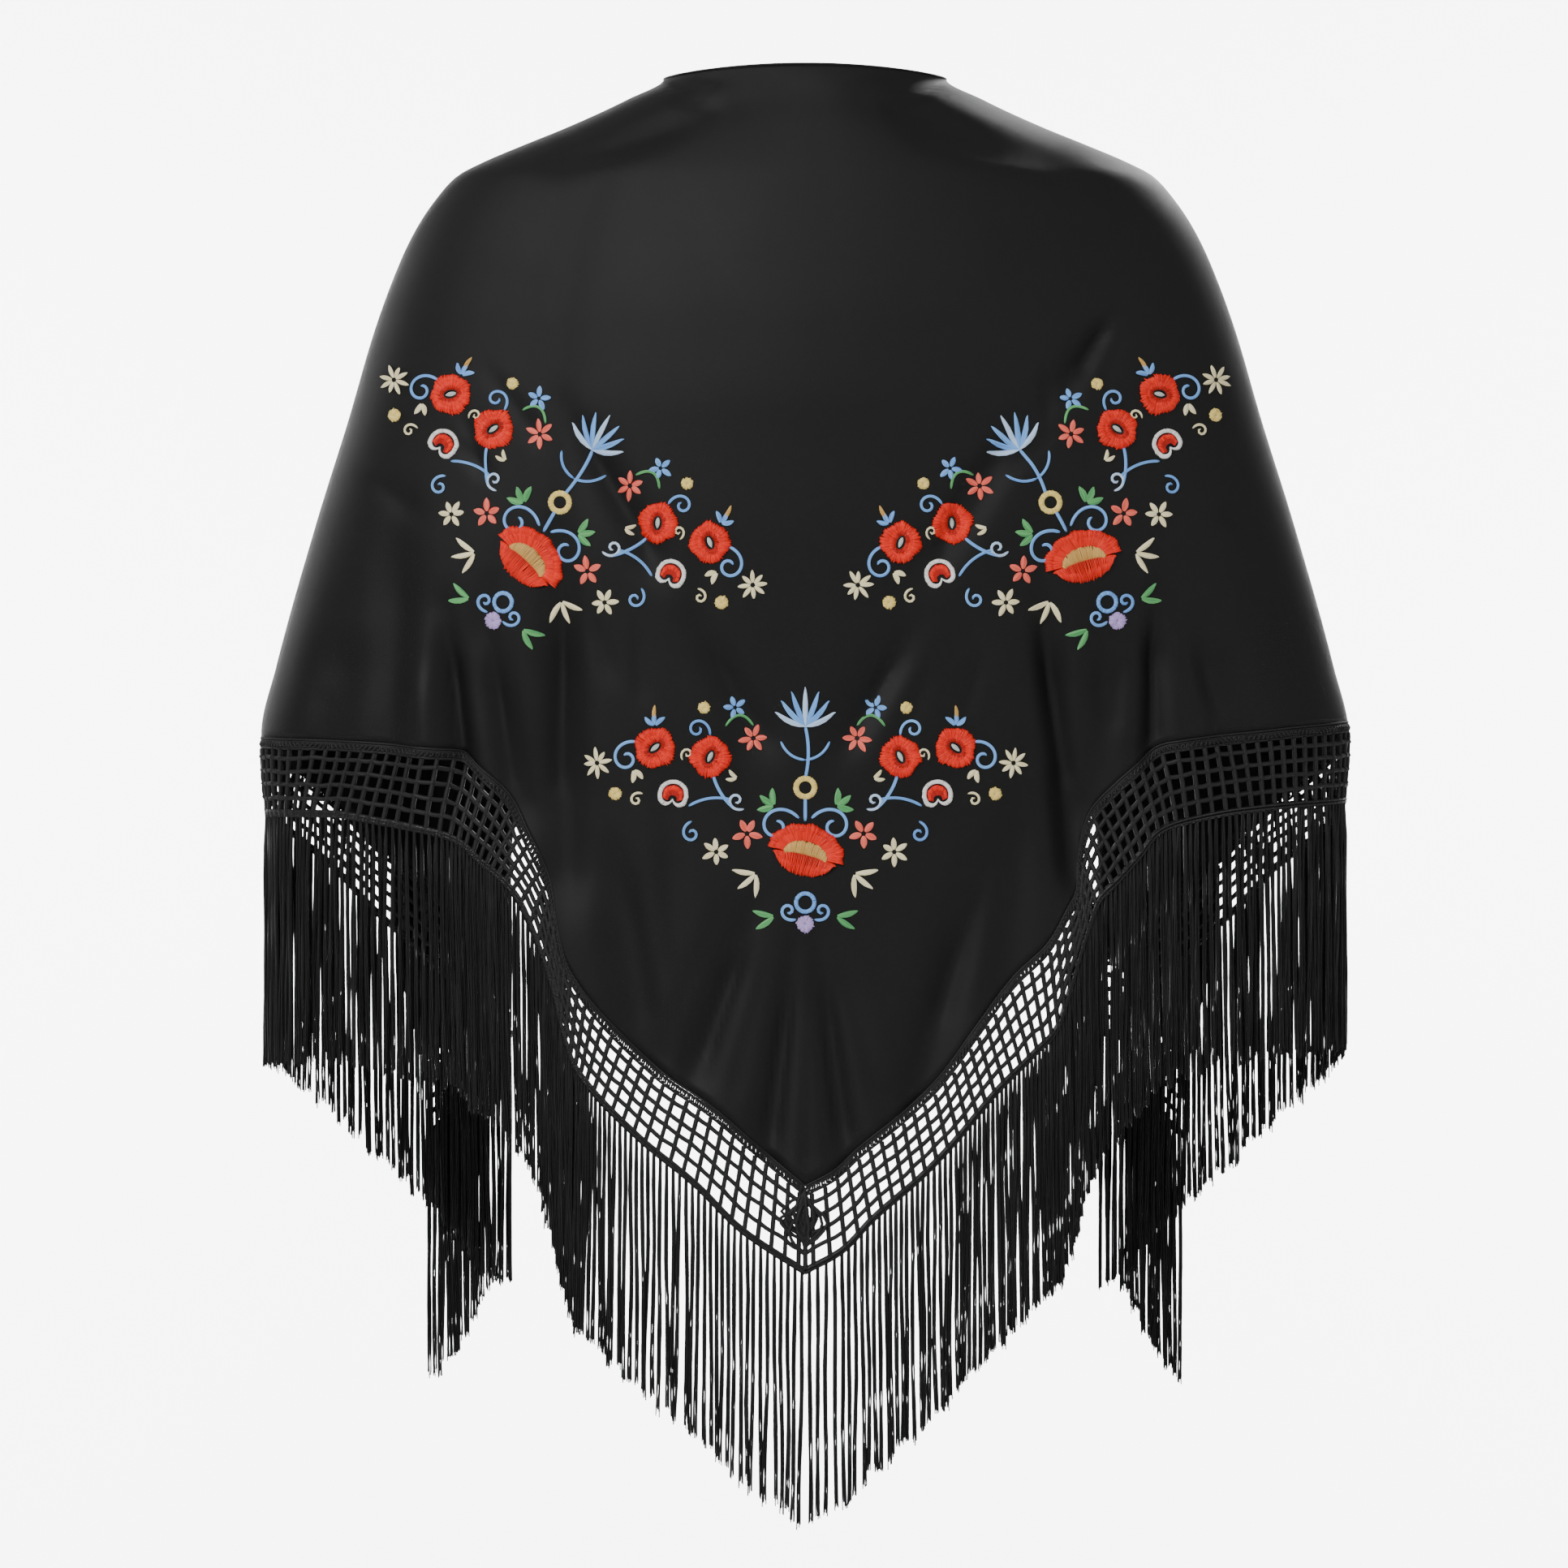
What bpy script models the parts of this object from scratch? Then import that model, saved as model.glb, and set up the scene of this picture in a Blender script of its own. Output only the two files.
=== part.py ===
"""Flamenco shawl in black cloth, as it hangs round the shoulders.

A triangular cloth lies over the back and both shoulders. The middle of its long edge is at the
nape, its right-angled corner hangs at the centre of the back, and its two ends hang in front.
A crocheted braid, a knotted net and a long fringe follow both short edges.

The frame: +Z up, the back faces -Y, the origin is at the centre of the base of the neck.
Tables are in millimetres. A drop is the distance below the origin, so it is -Z.
"""
import math

import bmesh
import bpy
import numpy as np

MM = 0.001

# Driving sizes, in millimetres
CLOTH_WALL = 1.5
BRAID_WALL = 2.4
BRAID_WIDTH = 7.0
NET_WALL = 1.6
STRIP_WALL = 2.2
STRIP_WIDTH = 3.0
SEAM_GAP = 0.4
FRINGE_LENGTH = 165.0
FRINGE_UNEVEN = 7.0
UNEVEN_PACE = (2.4, 0.7)
STRAND_PITCH = 10.0
STRAND_WIDTH = 5.6
STRAND_END_WIDTH = 4.2
STRAND_NECK = 0.12
STRAND_SWAY = 1.2
SWAY_PACE = 0.9
NECK_RISE = 6.7
NECK_DROP = -20.0

# How finely the sheets are divided
BACK_COLUMNS = 31
FRONT_COLUMNS = 7
TURN_COLUMNS = 4
FLAP_COLUMNS = 6
CLOTH_ROWS = 20
ROW_CROWDING = 1.3
NET_ROWS = 3
FOLD_SHARE = 0.4
STEEPEST = 0.3

# Level sections of the worn cloth, a row for each height
FIGURE_COLUMNS = ("drop", "half_width", "back", "side", "front")
FIGURE = np.array([
    (-27.0, 93.0, -62.0, 0.0, 52.0),
    (-20.0, 93.0, -65.0, 0.0, 54.0),
    (-6.0, 118.0, -70.0, 2.0, 60.0),
    (11.0, 155.0, -77.0, 4.0, 67.0),
    (24.0, 187.0, -82.0, 5.0, 72.0),
    (35.0, 213.0, -86.0, 6.0, 77.0),
    (44.0, 230.0, -89.0, 7.0, 80.0),
    (58.0, 243.0, -93.0, 8.0, 86.0),
    (77.0, 256.0, -98.0, 9.0, 93.0),
    (99.0, 267.0, -104.0, 10.0, 101.0),
    (144.0, 284.0, -112.0, 12.0, 114.0),
    (205.0, 302.0, -117.0, 14.0, 124.0),
    (272.0, 323.0, -117.0, 16.0, 128.0),
    (368.0, 350.0, -112.0, 19.0, 128.0),
    (413.0, 360.0, -110.0, 20.0, 127.0),
    (463.0, 357.0, -108.0, 22.0, 126.0),
    (620.0, 350.0, -109.0, 22.0, 121.0),
    (770.0, 350.0, -112.0, 22.0, 118.0),
])

# The front opening and the turned-back flap beside it, a row for each height
OPENING_COLUMNS = ("drop", "half_gap", "flap_width", "flap_gap")
OPENING = np.array([
    (-27.0, 84.0, 8.0, 5.0),
    (-20.0, 84.0, 9.0, 5.0),
    (0.0, 89.0, 12.0, 6.0),
    (50.0, 99.0, 20.0, 8.0),
    (120.0, 113.0, 29.0, 10.0),
    (200.0, 131.0, 39.0, 12.0),
    (300.0, 158.0, 52.0, 13.0),
    (400.0, 187.0, 66.0, 14.0),
    (500.0, 204.0, 78.0, 14.0),
    (560.0, 203.0, 73.0, 14.0),
    (626.0, 202.0, 57.0, 14.0),
    (690.0, 202.0, 51.0, 14.0),
])

# The lower edge of the cloth and of the net, from the centre of the back to the outline,
# a row for each station; the distance across is from the centre line
HEM_COLUMNS = ("cloth_across", "cloth_drop", "net_across", "net_drop")
BACK_HEM_LEFT = np.array([
    (0.0, 707.3, 0.0, 761.7),
    (33.0, 679.6, 41.0, 734.5),
    (60.2, 656.1, 71.4, 704.6),
    (94.3, 632.7, 107.7, 674.8),
    (128.5, 600.2, 140.7, 641.2),
    (145.5, 579.9, 151.4, 625.7),
    (156.5, 561.0, 158.9, 603.4),
    (162.0, 540.0, 165.0, 577.0),
    (167.0, 512.0, 175.5, 545.0),
    (172.7, 494.6, 187.6, 518.1),
    (182.8, 474.4, 199.9, 504.2),
    (196.1, 450.9, 212.1, 494.6),
    (214.3, 434.4, 224.9, 482.9),
    (230.0, 423.7, 237.6, 477.0),
    (262.2, 420.5, 272.9, 469.6),
    (304.9, 417.3, 314.5, 463.7),
    (360.0, 414.7, 357.0, 463.2),
])
BACK_HEM_RIGHT = np.array([
    (0.0, 707.3, 0.0, 761.7),
    (18.7, 697.2, 24.0, 748.3),
    (35.7, 681.7, 44.2, 727.5),
    (69.8, 654.5, 77.8, 698.2),
    (86.9, 637.5, 96.5, 678.5),
    (112.5, 602.3, 124.7, 644.9),
    (137.5, 570.3, 149.2, 620.4),
    (158.8, 549.0, 164.7, 603.5),
    (170.6, 528.7, 174.8, 573.0),
    (179.6, 511.7, 183.4, 543.7),
    (182.3, 487.2, 191.8, 521.3),
    (187.5, 466.4, 204.6, 507.0),
    (204.7, 444.5, 219.1, 490.4),
    (220.1, 431.2, 231.3, 475.5),
    (240.4, 418.4, 247.1, 469.0),
    (283.0, 412.5, 288.8, 461.0),
    (334.7, 406.7, 336.0, 456.5),
    (360.0, 404.0, 357.0, 454.7),
])

# The same edges in front, from the outline to the fold, then along the flap to the tip
FRONT_HEM = np.array([
    (348.0, 426.0, 350.0, 469.0),
    (312.9, 458.4, 315.5, 499.0),
    (284.6, 485.0, 284.5, 531.0),
    (240.9, 525.0, 240.3, 572.3),
])
FOLD_HEM = {"cloth": 559.7, "net": 611.0}
FLAP_HEM = np.array([
    (227.1, 591.1, 225.4, 645.5),
    (248.9, 618.8, 244.0, 671.0),
])
TIP_HEM = {"cloth": 626.3, "net": 679.0}

# The largest folds, a row for each; a height below nothing is a trough. The columns are
# start_x, start_drop, end_x, end_drop, start_width, end_width and height
BACK_FOLDS = (
    (-236.7, 335.0, -226.0, 442.4, 9.0, 13.0, -10.8),
    (-251.6, 357.0, -249.0, 453.0, 12.0, 16.0, 5.4),
    (-209.5, 349.1, -187.6, 455.7, 12.0, 15.0, -8.1),
    (-159.9, 290.0, -158.0, 500.0, 12.0, 17.0, -9.5),
    (-267.0, 271.8, -274.0, 413.0, 14.0, 18.0, -6.8),
    (-299.5, 335.8, -312.9, 426.4, 14.0, 18.0, -5.4),
    (-155.6, 202.5, -102.3, 293.2, 10.0, 13.0, -5.4),
    (-70.4, 346.5, -30.4, 410.4, 10.0, 12.0, -5.4),
    (-134.3, 463.7, -107.7, 618.3, 14.0, 18.0, -6.8),
    (-37.3, 534.1, -71.4, 628.9, 10.0, 14.0, -8.1),
    (-7.5, 554.3, -25.0, 687.6, 8.0, 12.0, -6.8),
    (8.5, 554.3, 26.7, 682.2, 8.0, 12.0, -6.8),
    (69.3, 346.5, 30.9, 410.4, 10.0, 12.0, -5.4),
    (231.3, 325.0, 230.3, 423.7, 9.0, 13.0, -10.8),
    (202.5, 338.5, 190.8, 455.7, 14.0, 17.0, -8.1),
    (154.6, 310.0, 178.0, 495.7, 11.0, 15.0, -13.5),
    (260.1, 346.5, 277.2, 410.4, 12.0, 16.0, -5.4),
    (144.0, 210.0, 89.5, 293.2, 10.0, 13.0, -5.4),
    (203.1, 138.0, 173.8, 181.2, 9.0, 11.0, -5.4),
    (110.9, 506.4, 73.6, 650.3, 12.0, 16.0, -8.1),
    (145.5, 426.4, 129.5, 581.0, 14.0, 18.0, -5.4),
    (-45.8, 0.0, -155.6, 32.0, 10.0, 14.0, -4.1),
    (45.8, 0.0, 155.6, 32.0, 10.0, 14.0, -4.1),
)
FRONT_FOLDS = (
    (-215.0, 60.0, -258.0, 520.0, 14.0, 20.0, -10.8),
    (-168.0, 110.0, -214.0, 560.0, 12.0, 17.0, -8.1),
    (-262.0, 150.0, -312.0, 470.0, 12.0, 18.0, -8.1),
    (212.0, 70.0, 252.0, 520.0, 14.0, 20.0, -10.8),
    (168.0, 110.0, 214.0, 560.0, 12.0, 17.0, -8.1),
    (264.0, 130.0, 306.0, 470.0, 12.0, 18.0, -8.1),
)

# A fold starts at a share of its height and is whole from a share of its length on
FOLD_START = 0.25
FOLD_ONSET = 0.4
FOLD_END_REACH = 1.6
OUTLINE_FADE = 0.35

# The finishes, colour and roughness
BLACK_CLOTH = ((0.016, 0.015, 0.017), 0.62)
BLACK_BRAID = ((0.014, 0.013, 0.015), 0.7)
BLACK_NET = ((0.012, 0.012, 0.013), 0.7)
BLACK_FRINGE = ((0.013, 0.012, 0.013), 0.5)

# The widest share of its section that the opening takes, and how near two places may lie
WIDEST_GAP = 0.999
NEAR = 1e-6


def clear_scene():
    for item in list(bpy.data.objects):
        bpy.data.objects.remove(item, do_unlink=True)


def smooth_through(stations, values, at):
    """A smooth curve through a table's points that never overshoots them."""
    step = np.diff(stations)
    rise = np.diff(values) / step
    slope = np.empty(len(values))
    slope[0] = rise[0]
    slope[-1] = rise[-1]
    before, after = rise[:-1], rise[1:]
    total = np.where(before * after > 0, before + after, 1.0)
    slope[1:-1] = np.where(before * after > 0, 2 * before * after / total, 0.0)
    at = np.clip(at, stations[0], stations[-1])
    i = np.clip(np.searchsorted(stations, at) - 1, 0, len(step) - 1)
    t = (at - stations[i]) / step[i]
    start = (1 + 2 * t) * (1 - t) ** 2 * values[i] + t * (1 - t) ** 2 * step[i] * slope[i]
    end = t * t * (3 - 2 * t) * values[i + 1] + t * t * (t - 1) * step[i] * slope[i + 1]
    return start + end


def read_table(table, names, name, drop):
    return smooth_through(table[:, 0], table[:, names.index(name)], drop)


def figure(name, drop):
    return read_table(FIGURE, FIGURE_COLUMNS, name, drop)


def opening(name, drop):
    return read_table(OPENING, OPENING_COLUMNS, name, drop)


def ease(value):
    value = np.clip(value, 0.0, 1.0)
    return value * value * (3 - 2 * value)


def fold_heights(folds, x, drop):
    """How far the folds lift the cloth at each point."""
    total = np.zeros_like(x)
    for start_x, start_drop, end_x, end_drop, start_width, end_width, height in folds:
        run_x, run_drop = end_x - start_x, end_drop - start_drop
        length = math.hypot(run_x, run_drop)
        along = ((x - start_x) * run_x + (drop - start_drop) * run_drop) / length ** 2
        across = ((x - start_x) * run_drop - (drop - start_drop) * run_x) / length
        inside = np.clip(along, 0.0, 1.0)
        beyond = (along - inside) * length
        width = start_width + (end_width - start_width) * inside
        onset = FOLD_START + (1 - FOLD_START) * ease(inside / FOLD_ONSET)
        past_end = beyond / width / FOLD_END_REACH
        total += height * onset * np.exp(-(across / width) ** 2 - past_end ** 2)
    return total


def inner_angle(drop):
    """The angle round the section at which the front panel ends in its fold."""
    share = np.minimum(opening("half_gap", drop) / figure("half_width", drop), WIDEST_GAP)
    return math.pi - np.arcsin(share)


def surface(around, drop):
    """Points and outward normals of the hanging cloth, in millimetres.

    around is 0 at the centre of the back, 1 at the outline, 2 at the fold beside the opening
    and 3 at the cloth's long edge; it is negative on the left.
    """
    around = np.asarray(around, dtype=float)
    drop = np.asarray(drop, dtype=float)
    side = np.where(around < 0, -1.0, 1.0)
    way = np.abs(around)
    half_width = figure("half_width", drop)
    middle = figure("side", drop)
    inner = inner_angle(drop)
    angle = np.where(way < 1, way * math.pi / 2,
                     math.pi / 2 + np.minimum(way - 1, 1) * (inner - math.pi / 2))

    # On the flap the angle runs back again from the fold
    on_flap = np.clip(way - 2, 0.0, 1.0)
    turn = math.pi * np.clip(on_flap / FOLD_SHARE, 0.0, 1.0)
    run = np.clip((on_flap - FOLD_SHARE) / (1 - FOLD_SHARE), 0.0, 1.0) * opening("flap_width", drop)
    depth = figure("front", drop) - middle
    pace = np.hypot(half_width * np.cos(inner), depth * np.sin(inner))
    angle = angle - run / pace

    def depth_at(level, direction):
        reach = np.where(direction < 0, figure("front", level), -figure("back", level))
        offset = np.where(direction < 0, -figure("side", level), figure("side", level))
        return reach + offset

    cosine, sine = np.cos(angle), np.sin(angle)
    depth = depth_at(drop, cosine)
    point = np.stack([half_width * sine, middle - depth * cosine, -drop], axis=-1)

    # The normal comes from the slopes round the section and down it
    nudge = 1.0
    spread = (figure("half_width", drop + nudge) - figure("half_width", drop - nudge)) / (2 * nudge)
    shift = (figure("side", drop + nudge) - figure("side", drop - nudge)) / (2 * nudge)
    deepen = (depth_at(drop + nudge, cosine) - depth_at(drop - nudge, cosine)) / (2 * nudge)
    round_it = np.stack([half_width * cosine, depth * sine, np.zeros_like(sine)], axis=-1)
    down_it = np.stack([spread * sine, shift - deepen * cosine, -np.ones_like(sine)], axis=-1)
    outward = np.cross(down_it, round_it)
    outward /= np.linalg.norm(outward, axis=-1, keepdims=True)
    inward_run = round_it / np.linalg.norm(round_it, axis=-1, keepdims=True)

    # Folds lift the cloth outwards, and fade at the outline
    x = point[..., 0] * side
    lift = np.where(cosine > 0, fold_heights(BACK_FOLDS, x, drop), fold_heights(FRONT_FOLDS, x, drop))
    lift = lift * ease(np.abs(cosine) / OUTLINE_FADE)
    point = point + outward * lift[..., None]

    # The flap turns round the fold and lies in front of its panel
    bend = opening("flap_gap", drop) / 2
    point = point + outward * (bend * (1 - np.cos(turn)))[..., None]
    point = point + inward_run * (bend * np.sin(turn))[..., None]
    normal = outward * np.cos(turn)[..., None] - inward_run * np.sin(turn)[..., None]

    point[..., 0] *= side
    normal[..., 0] *= side
    return point, normal


def way_on_back(across, drop):
    return np.arcsin(np.minimum(across / figure("half_width", drop), 1.0)) * 2 / math.pi


def way_on_front(across, drop):
    angle = math.pi - np.arcsin(np.minimum(across / figure("half_width", drop), 1.0))
    return 1 + (angle - math.pi / 2) / (inner_angle(drop) - math.pi / 2)


def way_on_flap(across, drop):
    run = (across - opening("half_gap", drop)) / opening("flap_width", drop)
    return 2 + FOLD_SHARE + (1 - FOLD_SHARE) * run


def hem_stations(back_hem):
    """Stations of one side's hem: way round and drop, for the cloth's edge and the net's."""
    stations = []
    for edge in ("cloth", "net"):
        across, down = HEM_COLUMNS.index(edge + "_across"), HEM_COLUMNS.index(edge + "_drop")
        back_across, back_drop = back_hem[:, across], back_hem[:, down]
        front_across, front_drop = FRONT_HEM[:, across], FRONT_HEM[:, down]
        flap_across, flap_drop = FLAP_HEM[:, across], FLAP_HEM[:, down]
        way = np.concatenate([way_on_back(back_across, back_drop),
                              way_on_front(front_across, front_drop), [2.0, 2.0 + FOLD_SHARE],
                              way_on_flap(flap_across, flap_drop), [3.0]])
        drop = np.concatenate([back_drop, front_drop, [FOLD_HEM[edge], FOLD_HEM[edge]],
                               flap_drop, [TIP_HEM[edge]]])
        way[len(back_across) - 1] = 1.0
        stations += [way, drop]
    return stations


def spaced(start, end, count):
    return np.linspace(start, end, count, endpoint=False)


def side_columns(back_hem, side):
    """Columns of one side from the spine to the tip, as a dict of their ends."""
    cloth_way, cloth_drop, net_way, net_drop = hem_stations(back_hem)
    edge_points, _ = surface(cloth_way, cloth_drop)
    length = np.concatenate([[0.0], np.cumsum(np.linalg.norm(np.diff(edge_points, axis=0), axis=1))])
    outline = len(back_hem) - 1
    fold = outline + len(FRONT_HEM) + 1
    at = np.concatenate([spaced(0.0, length[outline], BACK_COLUMNS),
                         spaced(length[outline], length[fold], FRONT_COLUMNS),
                         spaced(length[fold], length[fold + 1], TURN_COLUMNS),
                         np.linspace(length[fold + 1], length[-1], FLAP_COLUMNS + 1)])
    even = np.concatenate([spaced(0.0, 1.0, BACK_COLUMNS), spaced(1.0, 2.0, FRONT_COLUMNS),
                           spaced(2.0, 2.0 + FOLD_SHARE, TURN_COLUMNS),
                           np.linspace(2.0 + FOLD_SHARE, 3.0, FLAP_COLUMNS + 1)])
    way = smooth_through(length, cloth_way, at)
    return {
        "top_way": side * (way + even) / 2,
        "cloth_way": side * way,
        "cloth_drop": smooth_through(length, cloth_drop, at),
        "net_way": side * smooth_through(length, net_way, at),
        "net_drop": smooth_through(length, net_drop, at),
    }


def neck_drop(way):
    """The long edge round the neck rises a little at the nape."""
    rise = np.cos(np.minimum(np.abs(way), 1.0) * math.pi / 2) ** 2
    return NECK_DROP - NECK_RISE * rise


def joined_columns(left, right):
    """Both sides' columns in one run, from the left tip to the right tip."""
    return {name: np.concatenate([left[name][:0:-1], right[name]]) for name in left}


def below_hem(columns, distance):
    """Points and normals at a distance below the cloth's edge, along the net."""
    top, _ = surface(columns["cloth_way"], columns["cloth_drop"])
    bottom, _ = surface(columns["net_way"], columns["net_drop"])
    share = distance / np.linalg.norm(bottom - top, axis=-1)
    way = columns["cloth_way"] + (columns["net_way"] - columns["cloth_way"]) * share
    drop = columns["cloth_drop"] + (columns["net_drop"] - columns["cloth_drop"]) * share
    return surface(way, drop)


def net_length(columns):
    top, _ = surface(columns["cloth_way"], columns["cloth_drop"])
    bottom, _ = surface(columns["net_way"], columns["net_drop"])
    return np.linalg.norm(bottom - top, axis=-1)


def slanted(columns, width):
    """A width square to the hem, as a distance along the net where that hangs aslant."""
    top, _ = surface(columns["cloth_way"], columns["cloth_drop"])
    bottom, _ = surface(columns["net_way"], columns["net_drop"])
    run = np.gradient(top, axis=0)
    down = bottom - top
    square = np.linalg.norm(np.cross(run, down), axis=-1)
    sine = square / np.linalg.norm(run, axis=-1) / np.linalg.norm(down, axis=-1)
    return width / np.maximum(sine, STEEPEST)


def finish(name, look):
    colour, roughness = look
    material = bpy.data.materials.new(name)
    material.use_nodes = True
    shader = material.node_tree.nodes["Principled BSDF"]
    shader.inputs["Base Color"].default_value = (*colour, 1.0)
    shader.inputs["Roughness"].default_value = roughness
    shader.inputs["Metallic"].default_value = 0.0
    return material


def add_object(name, mesh_builder, material):
    mesh = bpy.data.meshes.new(name)
    mesh_builder.normal_update()
    mesh_builder.to_mesh(mesh)
    mesh_builder.free()
    mesh.materials.append(material)
    item = bpy.data.objects.new(name, mesh)
    bpy.context.scene.collection.objects.link(item)
    return item


def sheet_walls(points, normals, wall):
    """The outer and the inner face of a sheet, in metres."""
    outer = (points + normals * wall / 2) * MM
    inner = (points - normals * wall / 2) * MM
    return outer, inner


def add_sheet(name, points, normals, wall, material):
    """A closed sheet from a grid of points: rows go down, columns go from left to right."""
    outer, inner = sheet_walls(points, normals, wall)
    rows, columns = outer.shape[:2]
    builder = bmesh.new()
    front = [[builder.verts.new(outer[r, c]) for c in range(columns)] for r in range(rows)]
    behind = [[builder.verts.new(inner[r, c]) for c in range(columns)] for r in range(rows)]
    for r in range(rows - 1):
        for c in range(columns - 1):
            builder.faces.new((front[r][c], front[r + 1][c], front[r + 1][c + 1], front[r][c + 1]))
            builder.faces.new((behind[r][c], behind[r][c + 1], behind[r + 1][c + 1], behind[r + 1][c]))
    for c in range(columns - 1):
        builder.faces.new((front[0][c], front[0][c + 1], behind[0][c + 1], behind[0][c]))
        builder.faces.new((front[-1][c + 1], front[-1][c], behind[-1][c], behind[-1][c + 1]))
    for r in range(rows - 1):
        builder.faces.new((front[r + 1][0], front[r][0], behind[r][0], behind[r + 1][0]))
        builder.faces.new((front[r][-1], front[r + 1][-1], behind[r + 1][-1], behind[r][-1]))
    return add_object(name, builder, material)


def add_cloth(columns, material):
    """The one triangular piece of cloth."""
    share = np.linspace(0.0, 1.0, CLOTH_ROWS + 1)[:, None] ** ROW_CROWDING
    top = neck_drop(columns["top_way"])
    drop = top + (columns["cloth_drop"] - top) * share
    way = columns["top_way"] + (columns["cloth_way"] - columns["top_way"]) * share
    points, normals = surface(way, drop)
    return add_sheet("cloth_panel", points, normals, CLOTH_WALL, material)


def part_at_spine(points, side):
    """Moves the spine's column off the centre line, so that the two halves stay apart."""
    spine = 0 if side > 0 else -1
    points[:, spine, 0] += side * SEAM_GAP / 2
    return points


def add_band(name, columns, side, from_edge, to_edge, rows, wall, material):
    """A band along the hem of one side, between two distances below the cloth's edge."""
    stations = [below_hem(columns, from_edge + (to_edge - from_edge) * r / rows)
                for r in range(rows + 1)]
    points = np.stack([station[0] for station in stations])
    normals = np.stack([station[1] for station in stations])
    return add_sheet(name, part_at_spine(points, side), normals, wall, material)


def strand_spans(rail):
    """Where the strands leave a rail: start and end of each, as places between its points."""
    steps = np.linalg.norm(np.diff(rail[:, :2], axis=0), axis=1)
    reach = np.concatenate([[0.0], np.cumsum(steps)])
    count = int(reach[-1] / STRAND_PITCH)
    margin = (reach[-1] - (count - 1) * STRAND_PITCH) / 2
    centres = margin + np.arange(count) * STRAND_PITCH
    places = np.arange(len(rail), dtype=float)
    starts = np.interp(centres - STRAND_WIDTH / 2, reach, places)
    ends = np.interp(centres + STRAND_WIDTH / 2, reach, places)
    return list(zip(starts, ends))


def between(rail, place):
    i = min(int(place), len(rail) - 2)
    return rail[i] + (rail[i + 1] - rail[i]) * (place - i)


def strand_rings(corners, index):
    """Two lower rings of a strand under its four root corners, in metres."""
    centre = sum(corners) / 4
    run = (corners[1] - corners[0]) + (corners[2] - corners[3])
    run[2] = 0.0
    run /= np.linalg.norm(run)
    out = np.array([run[1], -run[0], 0.0])
    lowest = min(corner[2] for corner in corners)
    uneven = math.sin(index * UNEVEN_PACE[0]) * math.cos(index * UNEVEN_PACE[1])
    length = (FRINGE_LENGTH + FRINGE_UNEVEN * uneven) * MM
    sway = STRAND_SWAY * math.sin(index * SWAY_PACE) * MM
    half_run, half_out = run * STRAND_END_WIDTH * MM / 2, out * STRIP_WALL * MM / 2
    rings = []
    for share in (STRAND_NECK, 1.0):
        middle = centre + run * sway * share
        middle[2] = lowest - length * share
        rings.append([middle - half_run + half_out, middle + half_run + half_out,
                      middle + half_run - half_out, middle - half_run - half_out])
    return rings


def cut_short(rail, end):
    """Draws one end of a rail back, so that the two strips of a side stay apart."""
    beside = 1 if end == 0 else -2
    step = rail[beside] - rail[end]
    rail[end] += step * (SEAM_GAP / 2 * MM / np.linalg.norm(step))
    return rail


def add_fringe(name, columns, part, side, outline_end, material):
    """A strip under the net's edge with its strands, for the columns of one part."""
    gap_end = net_length(columns) + slanted(columns, SEAM_GAP)
    top_points, top_normals = below_hem(columns, gap_end)
    low_points, low_normals = below_hem(columns, gap_end + STRIP_WIDTH)
    spine = 0 if side > 0 else -1
    for points in (top_points, low_points):
        points[spine, 0] += side * SEAM_GAP / 2
    top_outer, top_inner = sheet_walls(top_points[part], top_normals[part], STRIP_WALL)
    low_outer, low_inner = sheet_walls(low_points[part], low_normals[part], STRIP_WALL)
    rails = [cut_short(rail, outline_end) for rail in (low_outer, low_inner, top_inner, top_outer)]

    spans = strand_spans((low_outer + low_inner) / 2 / MM)
    places = sorted(set(range(len(low_outer))) | {end for span in spans for end in span})
    places = [place for i, place in enumerate(places) if i == 0 or place - places[i - 1] > NEAR]
    roots = {start: (index, end) for index, (start, end) in enumerate(spans)}

    builder = bmesh.new()
    loops = [[builder.verts.new(between(rail, place)) for rail in rails] for place in places]
    inside = None
    for i in range(len(places) - 1):
        here, there = loops[i], loops[i + 1]
        if places[i] in roots:
            inside = [i, *roots[places[i]]]
        for a in (1, 2, 3):
            b = (a + 1) % 4
            builder.faces.new((here[a], here[b], there[b], there[a]))
        if inside is None:
            builder.faces.new((here[0], here[1], there[1], there[0]))
        elif places[i + 1] >= inside[2] - NEAR:
            add_strand(builder, loops[inside[0]:i + 2], inside[1])
            inside = None
    builder.faces.new(loops[0][::-1])
    builder.faces.new(loops[-1])
    return add_object(name, builder, material)


def add_strand(builder, loops, index):
    """A strand of four sides under the stretch of strip between the first and last loop."""
    first, last = loops[0], loops[-1]
    corners = [np.array(vert.co) for vert in (first[0], last[0], last[1], first[1])]
    upper, lower = [[builder.verts.new(point) for point in ring]
                    for ring in strand_rings(corners, index)]
    outer_edge = [loop[0] for loop in loops]
    inner_edge = [loop[1] for loop in loops]
    builder.faces.new((*outer_edge[::-1], upper[0], upper[1]))
    builder.faces.new((outer_edge[-1], upper[1], upper[2], inner_edge[-1]))
    builder.faces.new((*inner_edge, upper[2], upper[3]))
    builder.faces.new((inner_edge[0], upper[3], upper[0], outer_edge[0]))
    for a in range(4):
        b = (a + 1) % 4
        builder.faces.new((upper[a], lower[a], lower[b], upper[b]))
    builder.faces.new((lower[0], lower[3], lower[2], lower[1]))


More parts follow.
